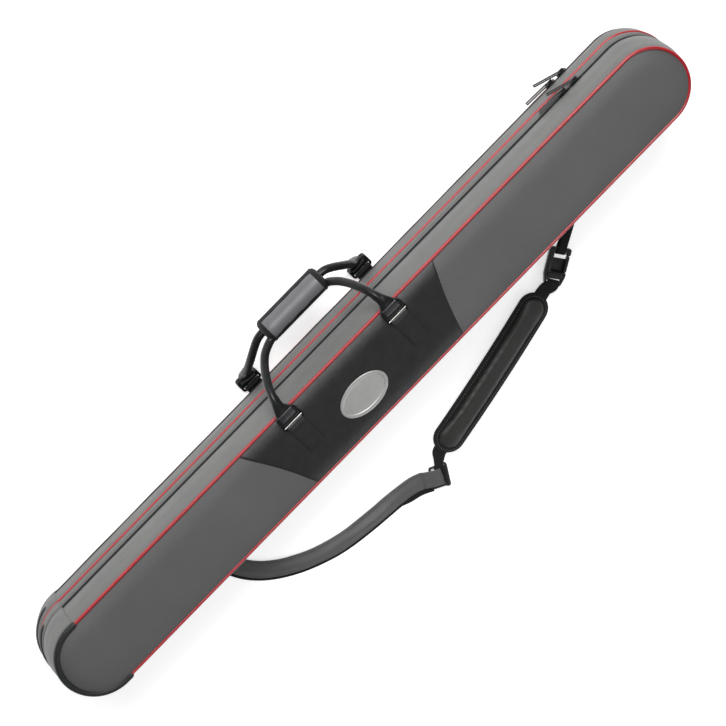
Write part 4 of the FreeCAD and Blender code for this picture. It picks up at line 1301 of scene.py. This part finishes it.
# Plates as (name, outlines, lowest z, highest z, softened edge), in the frame of the moulding they belong to.
adjuster = {"centre": (-50.0, -276.0), "turn": 150.0, "plates": (
    ("frame", (slab(-13, -19, 13, 19, 4), slab(-9.5, -15.5, -4, 15.5, 1.5), slab(4, -15.5, 9.5, 15.5, 1.5)),
     4.1, 7.9, 1.2),
    ("endBar", (slab(-17.4, -20.0, -8.6, 20.0, 4.2),), 3.0, 11.0, 2.8))}
parts = [mouldedPlate(*plate, adjuster["centre"], adjuster["turn"]) for plate in adjuster["plates"]]
settle(gathered("strapAdjuster", parts), "rear_shell", ("strap_adjuster",))

hookRim = rounded([(-31, -13), (-15, -18), (-8, -18), (-8, 9), (25, 9), (25, -11), (19, -11), (19, -18),
                   (31, -18), (31, 18), (-13, 18), (-31, 13)], 4.0)
hook = {"base": (285.0, -184.0), "tip": (337.0, -150.0), "gate": (-5.2, -14.9), "bar": 23.2, "wrap": 5.3}
hookPlates = (
    ("rim", (hookRim, slab(-25.5, -11.5, -19.5, 11.5, 1.5)), 3.5, 11.0, 1.4),
    ("boss", (slab(-17.5, -11, -9.5, 13, 3.5),), 9.0, 12.4, 1.2),
    ("web", (slab(-10, -16, 13, 11, 3.0),), 2.2, 3.9, 0.6),
    ("spine", (slab(-6, 10.6, 28, 16.4, 2.6),), 9.0, 12.0, 1.0))
hookTurn = math.degrees(math.atan2(hook["tip"][1] - hook["base"][1], hook["tip"][0] - hook["base"][0]))
hookMiddle = ((hook["base"][0] + hook["tip"][0]) / 2, (hook["base"][1] + hook["tip"][1]) / 2)
parts = [mouldedPlate(*plate, hookMiddle, hookTurn) for plate in hookPlates]
settle(gathered("hookBody", parts), "rear_shell", ("hook_body",))
gateX, gateY = hook["gate"]
gateOutline = slab(gateX - 2.5, gateY - 2.5, 18.6, gateY + 2.5, 2.4)
settle(mouldedPlate("hookGate", (gateOutline,), 4.0, 10.5, 1.0, hookMiddle, hookTurn), "hook_gate",
       ("hook_gate",))

# Webbing from the case to the hook's bar, in two legs joined by a turn round the bar.
anchorLine = ((430.0, -57.0), (426.0, -82.0), (412.0, -104.0), (392.0, -121.0), (367.0, -135.0))
turnRadians = math.radians(hookTurn)
barEnd = Vector((hookMiddle[0] + hook["bar"] * math.cos(turnRadians),
                 hookMiddle[1] + hook["bar"] * math.sin(turnRadians)))
legs = []
for z in (1.8, 12.4):
    route = [(x, y, z) for x, y in anchorLine] + [(barEnd.x, barEnd.y, z)]
    legs.append(sweepPiece("leg", smoothLine(route, 7),
                           lambda i, s: stripSection(15.0 - 7.0 * math.sin(math.pi * s), 1.6, 6), "webbing",
                           upward=(0, 0, 1)))
heading = Vector((math.cos(turnRadians), math.sin(turnRadians), 0))
wrapLine = [Vector((barEnd.x, barEnd.y, 7.1)) - heading * (hook["wrap"] * math.sin(math.radians(a))) * 0.5
            + Vector((0, 0, hook["wrap"] * math.cos(math.radians(a)))) for a in range(0, 181, 15)]
legs.append(sweepPiece("wrap", wrapLine, lambda i, s: stripSection(15.0, 1.6, 6), "webbing",
                       side=heading.cross(Vector((0, 0, 1)))))
settle(gathered("tipAnchor", legs), "rear_shell", ("tip_anchor",))
print("strap made")

# Floor: a pale table lit from below.
mesh = bmesh.new()
bmesh.ops.create_grid(mesh, x_segments=1, y_segments=1, size=9.0)
floorFinish, floorTree, floorShader = newFinish("paleStudioFloor", studio["floor"], 0.9, {
    "Emission Color": (1, 1, 1, 1), "Emission Strength": studio["floorGlow"]})
floorNoise = cloudy(floorTree, millimetres(floorTree, False), 900.0)
tint(floorTree, floorShader, floorNoise, studio["floor"], "#f6f6f6")
finishes["floor"] = floorFinish
floor = finished("floor", mesh, "floor")
floor.data.transform(Matrix.Translation((0, 0, -0.0005)))

print("scene ready")
